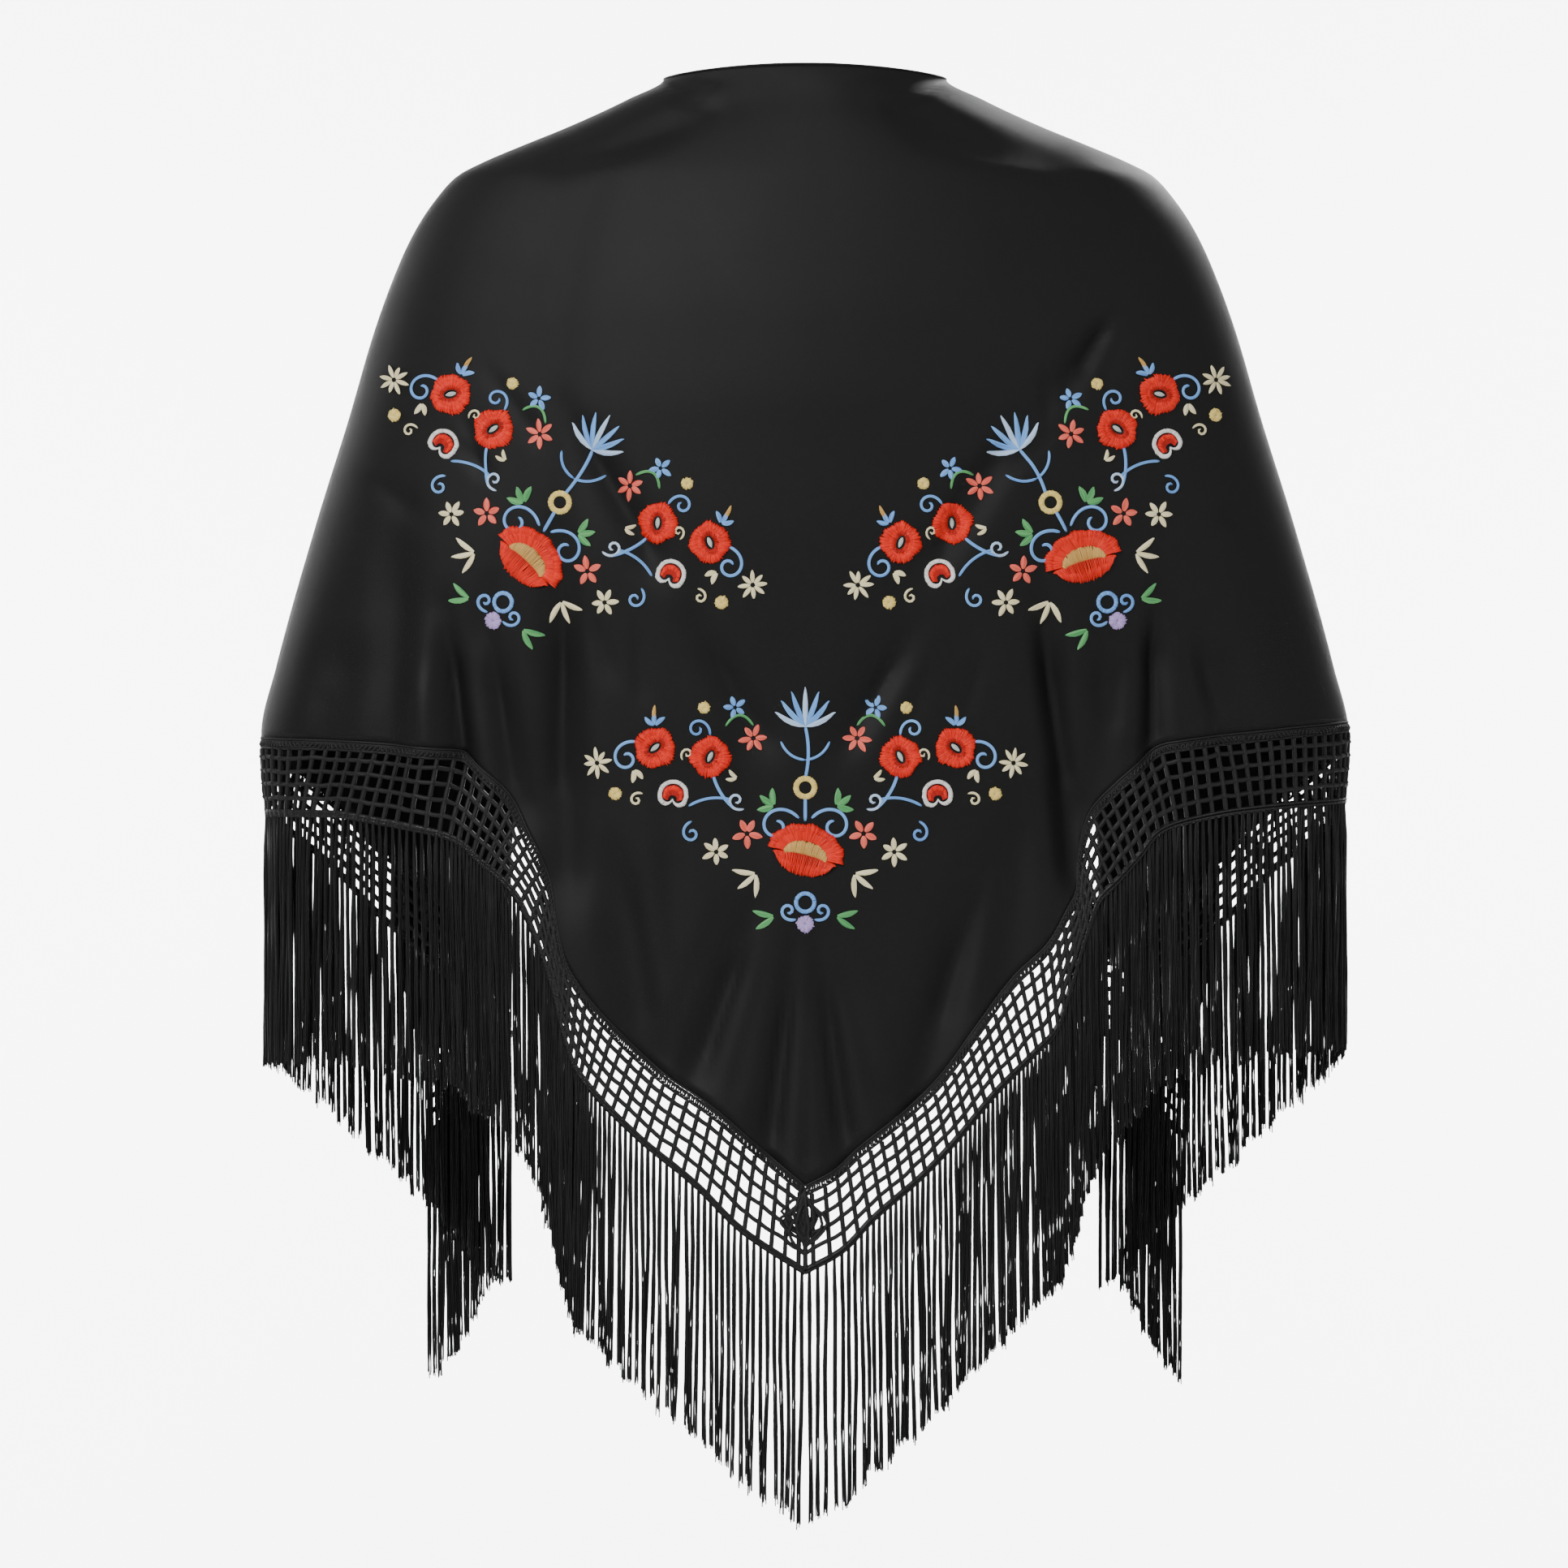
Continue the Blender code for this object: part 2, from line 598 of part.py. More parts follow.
def build_shawl():
    cloth_finish = finish("black_cloth", BLACK_CLOTH)
    braid_finish = finish("black_braid", BLACK_BRAID)
    net_finish = finish("black_net", BLACK_NET)
    fringe_finish = finish("black_fringe", BLACK_FRINGE)

    left = side_columns(BACK_HEM_LEFT, -1.0)
    right = side_columns(BACK_HEM_RIGHT, 1.0)
    add_cloth(joined_columns(left, right), cloth_finish)

    for name, columns, side in (("left", left, -1.0), ("right", right, 1.0)):
        if side < 0:
            columns = {key: values[::-1] for key, values in columns.items()}
        gap = slanted(columns, SEAM_GAP)
        braid_end = gap + BRAID_WIDTH
        add_band("braid_" + name, columns, side, gap, braid_end, 1, BRAID_WALL, braid_finish)
        add_band("net_" + name, columns, side, braid_end + gap, net_length(columns),
                 NET_ROWS, NET_WALL, net_finish)
        count = len(columns["cloth_way"])
        back, front = slice(0, BACK_COLUMNS + 1), slice(BACK_COLUMNS, count)
        back_end, front_end = -1, 0
        if side < 0:
            back, front = slice(count - BACK_COLUMNS - 1, count), slice(0, count - BACK_COLUMNS)
            back_end, front_end = 0, -1
        add_fringe("fringe_back_" + name, columns, back, side, back_end, fringe_finish)
        add_fringe("fringe_front_" + name, columns, front, side, front_end, fringe_finish)


clear_scene()
build_shawl()
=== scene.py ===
"""Looks of a worn flamenco shawl: cloth, crocheted braid, knotted net, fringe and embroidery.

Lengths in the tables are in millimetres; a drop is the distance below the base of the neck.
The shawl's own shape comes from the same sections, hem and folds as its solids.
"""
import math

import bpy
import numpy as np
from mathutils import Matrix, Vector


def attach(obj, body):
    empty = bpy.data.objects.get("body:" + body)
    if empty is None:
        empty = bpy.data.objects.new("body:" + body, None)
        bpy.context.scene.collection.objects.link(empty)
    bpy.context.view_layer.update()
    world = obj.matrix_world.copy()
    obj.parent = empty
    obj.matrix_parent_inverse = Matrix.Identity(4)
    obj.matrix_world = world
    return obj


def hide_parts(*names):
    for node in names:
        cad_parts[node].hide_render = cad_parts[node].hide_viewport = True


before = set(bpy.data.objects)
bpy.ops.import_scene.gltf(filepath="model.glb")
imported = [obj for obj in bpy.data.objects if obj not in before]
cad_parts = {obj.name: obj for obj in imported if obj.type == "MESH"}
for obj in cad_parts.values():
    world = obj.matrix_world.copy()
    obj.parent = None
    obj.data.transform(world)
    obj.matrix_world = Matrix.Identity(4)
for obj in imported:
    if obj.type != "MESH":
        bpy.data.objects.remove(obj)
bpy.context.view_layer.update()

MM = 0.001
RNG = np.random.default_rng(7)

# Sizes of the sewn and knotted work; cords are given by their radius. An edge of the braid, or of
# the fringe's heading, is a distance below the edge above it and a share of its cord's radius
CLOTH_THICK = 0.9
WEAVE_PITCH = 0.9 * MM
BRAID_WIDTH = 7.0
NET_CELL = 9.3
NET_CORD = 1.65
NET_ROW_SHARES = (0.0, 0.13, 0.345, 0.56, 0.78, 1.0)
ROLLED_EDGE = 0.9
BRAID_CORD = 0.85
BRAID_LOOP = 3.4
BRAID_STEP = 1.1
BRAID_EDGES = ((0.2, 1.0), (1.8, 0.9), (BRAID_WIDTH - 0.7, 1.1))
KNOT_TURNS = 34
KNOT_CORD = 1.2
FRINGE_LENGTH = 165.0
STRANDS_A_CELL = 2
THREADS_A_STRAND = 7
FRINGE_THREAD = 0.6
FRINGE_HEADING = ((0.7, 3.4), (2.7, 3.0))
HEADING_POINTS = 500
THREAD_SHARES = (0.0, 0.025, 0.06, 0.14, 0.26, 0.4, 0.55, 0.7, 0.86, 1.0)
STRAND_RADIUS = 1.0
SEAM_GAP = 0.4
STRIP_WIDTH = 3.0
NECK_RISE = 6.7
NECK_DROP = -20.0
FOLD_SHARE = 0.4

# Level sections of the worn cloth: drop, half width, back, side, front
FIGURE_COLUMNS = ("drop", "half_width", "back", "side", "front")
FIGURE = np.array([
    (-27.0, 93.0, -62.0, 0.0, 52.0),
    (-20.0, 93.0, -65.0, 0.0, 54.0),
    (-6.0, 118.0, -70.0, 2.0, 60.0),
    (11.0, 155.0, -77.0, 4.0, 67.0),
    (24.0, 187.0, -82.0, 5.0, 72.0),
    (35.0, 213.0, -86.0, 6.0, 77.0),
    (44.0, 230.0, -89.0, 7.0, 80.0),
    (58.0, 243.0, -93.0, 8.0, 86.0),
    (77.0, 256.0, -98.0, 9.0, 93.0),
    (99.0, 267.0, -104.0, 10.0, 101.0),
    (144.0, 284.0, -112.0, 12.0, 114.0),
    (205.0, 302.0, -117.0, 14.0, 124.0),
    (272.0, 323.0, -117.0, 16.0, 128.0),
    (368.0, 350.0, -112.0, 19.0, 128.0),
    (413.0, 360.0, -110.0, 20.0, 127.0),
    (463.0, 357.0, -108.0, 22.0, 126.0),
    (620.0, 350.0, -109.0, 22.0, 121.0),
    (770.0, 350.0, -112.0, 22.0, 118.0),
])
OPENING_COLUMNS = ("drop", "half_gap", "flap_width", "flap_gap")
OPENING = np.array([
    (-27.0, 84.0, 8.0, 5.0),
    (-20.0, 84.0, 9.0, 5.0),
    (0.0, 89.0, 12.0, 6.0),
    (50.0, 99.0, 20.0, 8.0),
    (120.0, 113.0, 29.0, 10.0),
    (200.0, 131.0, 39.0, 12.0),
    (300.0, 158.0, 52.0, 13.0),
    (400.0, 187.0, 66.0, 14.0),
    (500.0, 204.0, 78.0, 14.0),
    (560.0, 203.0, 73.0, 14.0),
    (626.0, 202.0, 57.0, 14.0),
    (690.0, 202.0, 51.0, 14.0),
])
HEM_COLUMNS = ("cloth_across", "cloth_drop", "net_across", "net_drop")
BACK_HEM_LEFT = np.array([
    (0.0, 707.3, 0.0, 761.7),
    (33.0, 679.6, 41.0, 734.5),
    (60.2, 656.1, 71.4, 704.6),
    (94.3, 632.7, 107.7, 674.8),
    (128.5, 600.2, 140.7, 641.2),
    (145.5, 579.9, 151.4, 625.7),
    (156.5, 561.0, 158.9, 603.4),
    (162.0, 540.0, 165.0, 577.0),
    (167.0, 512.0, 175.5, 545.0),
    (172.7, 494.6, 187.6, 518.1),
    (182.8, 474.4, 199.9, 504.2),
    (196.1, 450.9, 212.1, 494.6),
    (214.3, 434.4, 224.9, 482.9),
    (230.0, 423.7, 237.6, 477.0),
    (262.2, 420.5, 272.9, 469.6),
    (304.9, 417.3, 314.5, 463.7),
    (360.0, 414.7, 357.0, 463.2),
])
BACK_HEM_RIGHT = np.array([
    (0.0, 707.3, 0.0, 761.7),
    (18.7, 697.2, 24.0, 748.3),
    (35.7, 681.7, 44.2, 727.5),
    (69.8, 654.5, 77.8, 698.2),
    (86.9, 637.5, 96.5, 678.5),
    (112.5, 602.3, 124.7, 644.9),
    (137.5, 570.3, 149.2, 620.4),
    (158.8, 549.0, 164.7, 603.5),
    (170.6, 528.7, 174.8, 573.0),
    (179.6, 511.7, 183.4, 543.7),
    (182.3, 487.2, 191.8, 521.3),
    (187.5, 466.4, 204.6, 507.0),
    (204.7, 444.5, 219.1, 490.4),
    (220.1, 431.2, 231.3, 475.5),
    (240.4, 418.4, 247.1, 469.0),
    (283.0, 412.5, 288.8, 461.0),
    (334.7, 406.7, 336.0, 456.5),
    (360.0, 404.0, 357.0, 454.7),
])
FRONT_HEM = np.array([
    (348.0, 426.0, 350.0, 469.0),
    (312.9, 458.4, 315.5, 499.0),
    (284.6, 485.0, 284.5, 531.0),
    (240.9, 525.0, 240.3, 572.3),
])
FOLD_HEM = {"cloth": 559.7, "net": 611.0}
FLAP_HEM = np.array([
    (227.1, 591.1, 225.4, 645.5),
    (248.9, 618.8, 244.0, 671.0),
])
TIP_HEM = {"cloth": 626.3, "net": 679.0}

# The large folds, as in the solids: start x, start drop, end x, end drop, widths, height
BACK_FOLDS = (
    (-236.7, 335.0, -226.0, 442.4, 9.0, 13.0, -10.8),
    (-251.6, 357.0, -249.0, 453.0, 12.0, 16.0, 5.4),
    (-209.5, 349.1, -187.6, 455.7, 12.0, 15.0, -8.1),
    (-159.9, 290.0, -158.0, 500.0, 12.0, 17.0, -9.5),
    (-267.0, 271.8, -274.0, 413.0, 14.0, 18.0, -6.8),
    (-299.5, 335.8, -312.9, 426.4, 14.0, 18.0, -5.4),
    (-155.6, 202.5, -102.3, 293.2, 10.0, 13.0, -5.4),
    (-70.4, 346.5, -30.4, 410.4, 10.0, 12.0, -5.4),
    (-134.3, 463.7, -107.7, 618.3, 14.0, 18.0, -6.8),
    (-37.3, 534.1, -71.4, 628.9, 10.0, 14.0, -8.1),
    (-7.5, 554.3, -25.0, 687.6, 8.0, 12.0, -6.8),
    (8.5, 554.3, 26.7, 682.2, 8.0, 12.0, -6.8),
    (69.3, 346.5, 30.9, 410.4, 10.0, 12.0, -5.4),
    (231.3, 325.0, 230.3, 423.7, 9.0, 13.0, -10.8),
    (202.5, 338.5, 190.8, 455.7, 14.0, 17.0, -8.1),
    (154.6, 310.0, 178.0, 495.7, 11.0, 15.0, -13.5),
    (260.1, 346.5, 277.2, 410.4, 12.0, 16.0, -5.4),
    (144.0, 210.0, 89.5, 293.2, 10.0, 13.0, -5.4),
    (203.1, 138.0, 173.8, 181.2, 9.0, 11.0, -5.4),
    (110.9, 506.4, 73.6, 650.3, 12.0, 16.0, -8.1),
    (145.5, 426.4, 129.5, 581.0, 14.0, 18.0, -5.4),
    (-45.8, 0.0, -155.6, 32.0, 10.0, 14.0, -4.1),
    (45.8, 0.0, 155.6, 32.0, 10.0, 14.0, -4.1),
)
FRONT_FOLDS = (
    (-215.0, 60.0, -258.0, 520.0, 14.0, 20.0, -10.8),
    (-168.0, 110.0, -214.0, 560.0, 12.0, 17.0, -8.1),
    (-262.0, 150.0, -312.0, 470.0, 12.0, 18.0, -8.1),
    (212.0, 70.0, 252.0, 520.0, 14.0, 20.0, -10.8),
    (168.0, 110.0, 214.0, 560.0, 12.0, 17.0, -8.1),
    (264.0, 130.0, 306.0, 470.0, 12.0, 18.0, -8.1),
)
# Finer creases, seen from a step away, on the back and then on the hidden front
BACK_CREASES = (
    (-236.0, 345.0, -227.0, 424.0, 3.0, 5.0, -3.0),
    (-160.0, 330.0, -163.0, 440.0, 4.0, 6.0, -2.6),
    (-206.0, 352.0, -196.0, 440.0, 4.0, 6.0, -2.0),
    (-151.0, 210.0, -105.0, 287.0, 3.5, 5.0, -2.2),
    (-139.0, 335.0, -129.0, 368.0, 5.0, 7.0, -1.8),
    (-110.0, 339.0, -107.0, 383.0, 4.0, 6.0, -1.6),
    (-67.0, 349.0, -36.0, 405.0, 3.5, 5.0, -2.0),
    (-52.0, 400.0, -30.0, 470.0, 8.0, 12.0, -1.8),
    (-224.0, 202.0, -214.0, 232.0, 4.0, 5.0, -1.8),
    (-230.0, 220.0, -211.0, 240.0, 4.0, 5.0, -1.6),
    (-208.0, 175.0, -178.0, 215.0, 5.0, 7.0, -1.5),
    (-290.0, 240.0, -262.0, 262.0, 6.0, 8.0, -1.4),
    (-318.0, 380.0, -322.0, 412.0, 6.0, 8.0, -1.2),
    (-90.0, 470.0, -84.0, 560.0, 8.0, 12.0, -2.0),
    (-118.0, 500.0, -104.0, 590.0, 7.0, 10.0, -1.6),
    (-37.0, 540.0, -64.0, 615.0, 4.0, 6.0, -2.4),
    (-50.0, 520.0, -96.0, 625.0, 6.0, 9.0, -2.0),
    (-8.0, 556.0, -22.0, 670.0, 3.5, 6.0, -2.6),
    (0.5, 556.0, 1.5, 690.0, 3.5, 6.0, -2.0),
    (9.0, 556.0, 24.0, 668.0, 3.5, 6.0, -2.6),
    (20.0, 552.0, 47.0, 645.0, 5.0, 8.0, -2.0),
    (-22.0, 552.0, -45.0, 640.0, 5.0, 8.0, -1.8),
    (67.0, 349.0, 36.0, 405.0, 3.5, 5.0, -2.0),
    (60.0, 362.0, 40.0, 398.0, 3.0, 5.0, -1.6),
    (84.0, 366.0, 60.0, 420.0, 5.0, 8.0, -1.4),
    (115.0, 360.0, 107.0, 390.0, 4.0, 6.0, -1.6),
    (138.0, 365.0, 147.0, 425.0, 6.0, 8.0, -1.6),
    (156.0, 342.0, 172.0, 438.0, 4.0, 6.0, -3.0),
    (231.0, 336.0, 231.0, 413.0, 3.0, 4.5, -3.4),
    (240.0, 350.0, 252.0, 405.0, 5.0, 8.0, -1.8),
    (259.0, 353.0, 271.0, 388.0, 5.0, 7.0, -2.0),
    (211.0, 352.0, 205.0, 400.0, 5.0, 7.0, -1.6),
    (144.0, 210.0, 107.0, 250.0, 3.5, 5.0, -2.2),
    (104.0, 252.0, 90.0, 288.0, 3.5, 5.0, -2.0),
    (202.0, 139.0, 184.0, 171.0, 3.5, 5.0, -2.6),
    (214.0, 142.0, 196.0, 182.0, 4.0, 6.0, -1.6),
    (158.0, 173.0, 158.0, 203.0, 5.0, 6.0, -1.8),
    (166.0, 212.0, 140.0, 236.0, 4.0, 5.0, -1.6),
    (272.0, 265.0, 288.0, 276.0, 4.0, 5.0, -1.8),
    (180.0, 268.0, 164.0, 296.0, 5.0, 7.0, -1.8),
    (120.0, 500.0, 92.0, 590.0, 5.0, 8.0, -2.4),
    (-94.0, -16.0, -70.0, -8.0, 3.0, 4.0, -1.6),
    (-92.0, -8.0, -62.0, 2.0, 3.0, 4.0, -1.6),
    (94.0, -16.0, 66.0, -9.0, 3.0, 4.0, -1.6),
    (90.0, -6.0, 58.0, 3.0, 3.0, 4.0, -1.4),
    (-150.0, 34.0, -95.0, 20.0, 6.0, 9.0, -1.6),
    (140.0, 36.0, 84.0, 22.0, 6.0, 9.0, -1.4),
    (-70.0, 290.0, -66.0, 340.0, 9.0, 12.0, -1.2),
    (60.0, 300.0, 64.0, 345.0, 9.0, 12.0, -1.2),
    (-205.0, 300.0, -214.0, 350.0, 7.0, 9.0, -1.6),
)
FRONT_CREASES = (
    (-205.0, 70.0, -236.0, 330.0, 5.0, 8.0, -2.2),
    (-150.0, 60.0, -196.0, 380.0, 5.0, 8.0, -2.0),
    (-246.0, 120.0, -282.0, 400.0, 5.0, 8.0, -1.8),
    (-228.0, 300.0, -262.0, 500.0, 5.0, 7.0, -2.0),
    (-180.0, 330.0, -222.0, 540.0, 5.0, 7.0, -1.8),
    (-270.0, 330.0, -318.0, 440.0, 6.0, 9.0, -1.8),
    (200.0, 90.0, 228.0, 300.0, 5.0, 8.0, -2.2),
    (152.0, 80.0, 190.0, 350.0, 5.0, 8.0, -2.0),
    (240.0, 100.0, 286.0, 430.0, 5.0, 8.0, -1.8),
    (222.0, 280.0, 256.0, 480.0, 5.0, 7.0, -2.0),
    (178.0, 300.0, 216.0, 520.0, 5.0, 7.0, -1.8),
    (274.0, 300.0, 312.0, 430.0, 6.0, 9.0, -1.8),
)
FOLD_ONSET = 0.4
OUTLINE_FADE = 0.35

# How finely the cloth is divided, columns on each side and rows
FINE_BACK, FINE_FRONT, FINE_TURN, FINE_FLAP = 116, 30, 10, 22
FINE_ROWS = 112
ROW_CROWDING = 1.2

# The view: its width in metres at the shawl, and its width and the place of the neck in pixels
VIEW_WIDTH = 1.03
VIEW_UNITS = 1932
VIEW_NECK = (992, 130)

# Embroidery: one spray, sewn three times. Its motifs are in millimetres, across from its own
# middle and down, and a stem's width is too
THREAD = 0.40
STITCH_PITCH = 0.72
STEM_STITCH = 1.6
# Middle of the spray, across from the spine and below the neck, with its turn in degrees
SPRAYS = (
    ((0.0, 492.0), 0.0),
    ((-182.0, 300.0), 30.0),
    ((182.0, 300.0), -30.0),
)
HEART_EDGE = ((-1.0, 0.1), (-0.82, -0.5), (-0.3, -0.86), (0.3, -0.86), (0.82, -0.5), (1.0, 0.1),
              (0.82, 0.66), (0.42, 0.82), (0.1, 0.62), (0.0, 0.46), (-0.1, 0.62), (-0.42, 0.82),
              (-0.82, 0.66), (-1.0, 0.1))
HEART_CORE_TOP = ((-0.66, 0.3), (-0.6, -0.24), (0.0, -0.56), (0.6, -0.24), (0.66, 0.3))
HEART_CORE_LOW = ((-0.3, 0.44), (-0.24, 0.2), (0.0, 0.1), (0.24, 0.2), (0.3, 0.44))

# Motifs of one half of the spray, repeated in mirror image on the other half.
# Open poppies and heart flowers: place, radius and turn
POPPIES = (
    ((62.0, -64.0), 13.0, 65.0),
    ((98.0, -70.0), 13.0, 40.0),
)
HEARTS = (
    ((86.0, -40.0), 10.0, -8.0),
)
# Dots: colour, place and radius. Daisies: colour, place, radius, petals and turn
DOTS = (
    ("yellow", (124.0, -40.0), 4.2),
    ("yellow", (66.0, -96.0), 3.8),
)
DAISIES = (
    ("cream", (136.0, -60.0), 10.0, 8, 10.0),
    ("coral", (38.0, -14.0), 10.0, 5, 20.0),
    ("coral", (34.0, -76.0), 10.0, 6, 5.0),
    ("cream", (58.0, -2.0), 9.5, 6, 30.0),
    ("blue", (46.0, -96.0), 8.0, 5, 0.0),
)
# Sprigs of leaves: colour, place, direction, number of leaves, length and leaf width
SPRIGS = (
    ("green", (20.0, -32.0), -35.0, 3, 12.0, 5.0),
    ("cream", (32.0, 12.0), 40.0, 3, 16.0, 4.0),
    ("green", (20.0, 40.0), 10.0, 2, 15.0, 4.5),
    ("cream", (112.0, -56.0), 110.0, 2, 9.0, 4.0),
    ("blue", (98.0, -84.0), -90.0, 3, 9.0, 3.6),
    ("cream", (44.0, -50.0), -20.0, 2, 8.0, 3.0),
    ("ochre", (98.0, -86.0), -90.0, 1, 12.0, 3.0),
)
# Curled stems: colour, width, start, heading at the start, reach of the curl and its hand
CURLS = (
    ("blue", 2.3, (4.0, -24.0), -50.0, 27.0, 1),
    ("blue", 2.2, (110.0, -74.0), -10.0, 22.0, 1),
    ("blue", 2.1, (62.0, -78.0), -95.0, 16.0, 1),
    ("pale_blue", 2.0, (40.0, -30.0), 20.0, 13.0, -1),
    ("blue", 2.1, (74.0, -22.0), 20.0, 14.0, 1),
    ("blue", 2.2, (6.0, 42.0), 20.0, 13.0, -1),
    ("cream", 1.8, (106.0, -40.0), -25.0, 10.0, 1),
    ("cream", 1.7, (80.0, -62.0), -60.0, 9.0, -1),
)
# Plain stems: colour, width, start, end and how far the middle bows
BOWS = (
    ("blue", 2.3, (46.0, -30.0), (60.0, -52.0), 2.0),
    ("blue", 2.1, (48.0, -36.0), (76.0, -32.0), -3.0),
    ("green", 2.0, (34.0, -84.0), (52.0, -84.0), -7.0),
    ("blue", 2.0, (0.0, -62.0), (16.0, -74.0), 3.0),
)
# Motifs on the middle line: the half-open poppy's half width, rings as place, radius and width,
# the stem, and the fan of long leaves at its top
HALF_OPEN_POPPY = 25.0
MIDDLE_RINGS = (("yellow", (0.0, -44.0), 6.0, 3.4), ("blue", (0.0, 31.0), 6.0, 2.4))
MIDDLE_DOT = ("purple", (0.0, 45.0), 5.6)
MIDDLE_STEMS = (("blue", 2.6, (0.0, -22.0), (0.0, -38.0), 0.0),
                ("blue", 2.4, (0.0, -50.0), (0.0, -84.0), 2.0))
FAN_PLACE, FAN_LEAVES, FAN_SPREAD = (0.0, -84.0), 7, 130.0
FAN_LENGTHS = (26.0, 4.0)


# Shape of the worn cloth

def smooth_through(stations, values, at):
    """Values between stations on a smooth curve that never overshoots them."""
    step = np.diff(stations)
    rise = np.diff(values) / step
    slope = np.empty(len(values))
    slope[0] = rise[0]
    slope[-1] = rise[-1]
    before, after = rise[:-1], rise[1:]
    total = np.where(before * after > 0, before + after, 1.0)
    slope[1:-1] = np.where(before * after > 0, 2 * before * after / total, 0.0)
    at = np.clip(at, stations[0], stations[-1])
    i = np.clip(np.searchsorted(stations, at) - 1, 0, len(step) - 1)
    t = (at - stations[i]) / step[i]
    start = (1 + 2 * t) * (1 - t) ** 2 * values[i] + t * (1 - t) ** 2 * step[i] * slope[i]
    end = t * t * (3 - 2 * t) * values[i + 1] + t * t * (t - 1) * step[i] * slope[i + 1]
    return start + end


def figure(name, drop):
    """One column of the figure's table at a drop."""
    return smooth_through(FIGURE[:, 0], FIGURE[:, FIGURE_COLUMNS.index(name)], drop)


def opening(name, drop):
    """One column of the front opening's table at a drop."""
    return smooth_through(OPENING[:, 0], OPENING[:, OPENING_COLUMNS.index(name)], drop)


def ease(value):
    """A smooth step from 0 to 1."""
    value = np.clip(value, 0.0, 1.0)
    return value * value * (3 - 2 * value)


def fold_heights(folds, x, drop):
    """How far the folds lift the cloth; a negative height sinks it."""
    total = np.zeros_like(x)
    for start_x, start_drop, end_x, end_drop, start_width, end_width, height in folds:
        run_x, run_drop = end_x - start_x, end_drop - start_drop
        length = math.hypot(run_x, run_drop)
        along = ((x - start_x) * run_x + (drop - start_drop) * run_drop) / length ** 2
        across = ((x - start_x) * run_drop - (drop - start_drop) * run_x) / length
        inside = np.clip(along, 0.0, 1.0)
        beyond = (along - inside) * length
        width = start_width + (end_width - start_width) * inside
        onset = 0.25 + 0.75 * ease(inside / FOLD_ONSET)
        total += height * onset * np.exp(-(across / width) ** 2 - (beyond / width / 1.6) ** 2)
    return total


def inner_angle(drop):
    """The angle round the figure at which the cloth turns back in front."""
    share = np.minimum(opening("half_gap", drop) / figure("half_width", drop), 0.999)
    return math.pi - np.arcsin(share)


def surface(around, drop):
    """Points and outward normals; around is 0 at the spine, 1 at the outline, 3 at the edge."""
    around = np.asarray(around, dtype=float)
    drop = np.asarray(drop, dtype=float)
    around, drop = np.broadcast_arrays(around, drop)
    side = np.where(around < 0, -1.0, 1.0)
    way = np.abs(around)
    half_width = figure("half_width", drop)
    middle = figure("side", drop)
    inner = inner_angle(drop)
    angle = np.where(way < 1, way * math.pi / 2,
                     math.pi / 2 + np.minimum(way - 1, 1) * (inner - math.pi / 2))
    on_flap = np.clip(way - 2, 0.0, 1.0)
    turn = math.pi * np.clip(on_flap / FOLD_SHARE, 0.0, 1.0)
    run = np.clip((on_flap - FOLD_SHARE) / (1 - FOLD_SHARE), 0.0, 1.0) * opening("flap_width", drop)
    depth = figure("front", drop) - middle
    pace = np.hypot(half_width * np.cos(inner), depth * np.sin(inner))
    angle = angle - run / pace

    def depth_at(level, direction):
        reach = np.where(direction < 0, figure("front", level), -figure("back", level))
        offset = np.where(direction < 0, -figure("side", level), figure("side", level))
        return reach + offset

    cosine, sine = np.cos(angle), np.sin(angle)
    depth = depth_at(drop, cosine)
    point = np.stack([half_width * sine, middle - depth * cosine, -drop], axis=-1)
    nudge = 1.0
    spread = (figure("half_width", drop + nudge) - figure("half_width", drop - nudge)) / (2 * nudge)
    shift = (figure("side", drop + nudge) - figure("side", drop - nudge)) / (2 * nudge)
    deepen = (depth_at(drop + nudge, cosine) - depth_at(drop - nudge, cosine)) / (2 * nudge)
    round_it = np.stack([half_width * cosine, depth * sine, np.zeros_like(sine)], axis=-1)
    down_it = np.stack([spread * sine, shift - deepen * cosine, -np.ones_like(sine)], axis=-1)
    outward = np.cross(down_it, round_it)
    outward /= np.linalg.norm(outward, axis=-1, keepdims=True)
    inward_run = round_it / np.linalg.norm(round_it, axis=-1, keepdims=True)

    x = point[..., 0] * side
    back_lift = fold_heights(BACK_FOLDS + BACK_CREASES, x, drop)
    front_lift = fold_heights(FRONT_FOLDS + FRONT_CREASES, x, drop)
    lift = np.where(cosine > 0, back_lift, front_lift) * ease(np.abs(cosine) / OUTLINE_FADE)
    point = point + outward * lift[..., None]
    bend = opening("flap_gap", drop) / 2
    point = point + outward * (bend * (1 - np.cos(turn)))[..., None]
    point = point + inward_run * (bend * np.sin(turn))[..., None]
    normal = outward * np.cos(turn)[..., None] - inward_run * np.sin(turn)[..., None]
    point[..., 0] *= side
    normal[..., 0] *= side
    return point, normal


def way_on_back(across, drop):
    """The way round, from 0 to 1, of a place across the back."""
    return np.arcsin(np.minimum(across / figure("half_width", drop), 1.0)) * 2 / math.pi


def way_on_front(across, drop):
    """The way round, from 1 to 2, of a place across the front."""
    angle = math.pi - np.arcsin(np.minimum(across / figure("half_width", drop), 1.0))
    return 1 + (angle - math.pi / 2) / (inner_angle(drop) - math.pi / 2)


def way_on_flap(across, drop):
    """The way round, up to 3, of a place on the turned-back flap."""
    run = (across - opening("half_gap", drop)) / opening("flap_width", drop)
    return 2 + FOLD_SHARE + (1 - FOLD_SHARE) * run


def spaced(start, end, count):
    """Even steps that leave the end to the next stretch."""
    return np.linspace(start, end, count, endpoint=False)


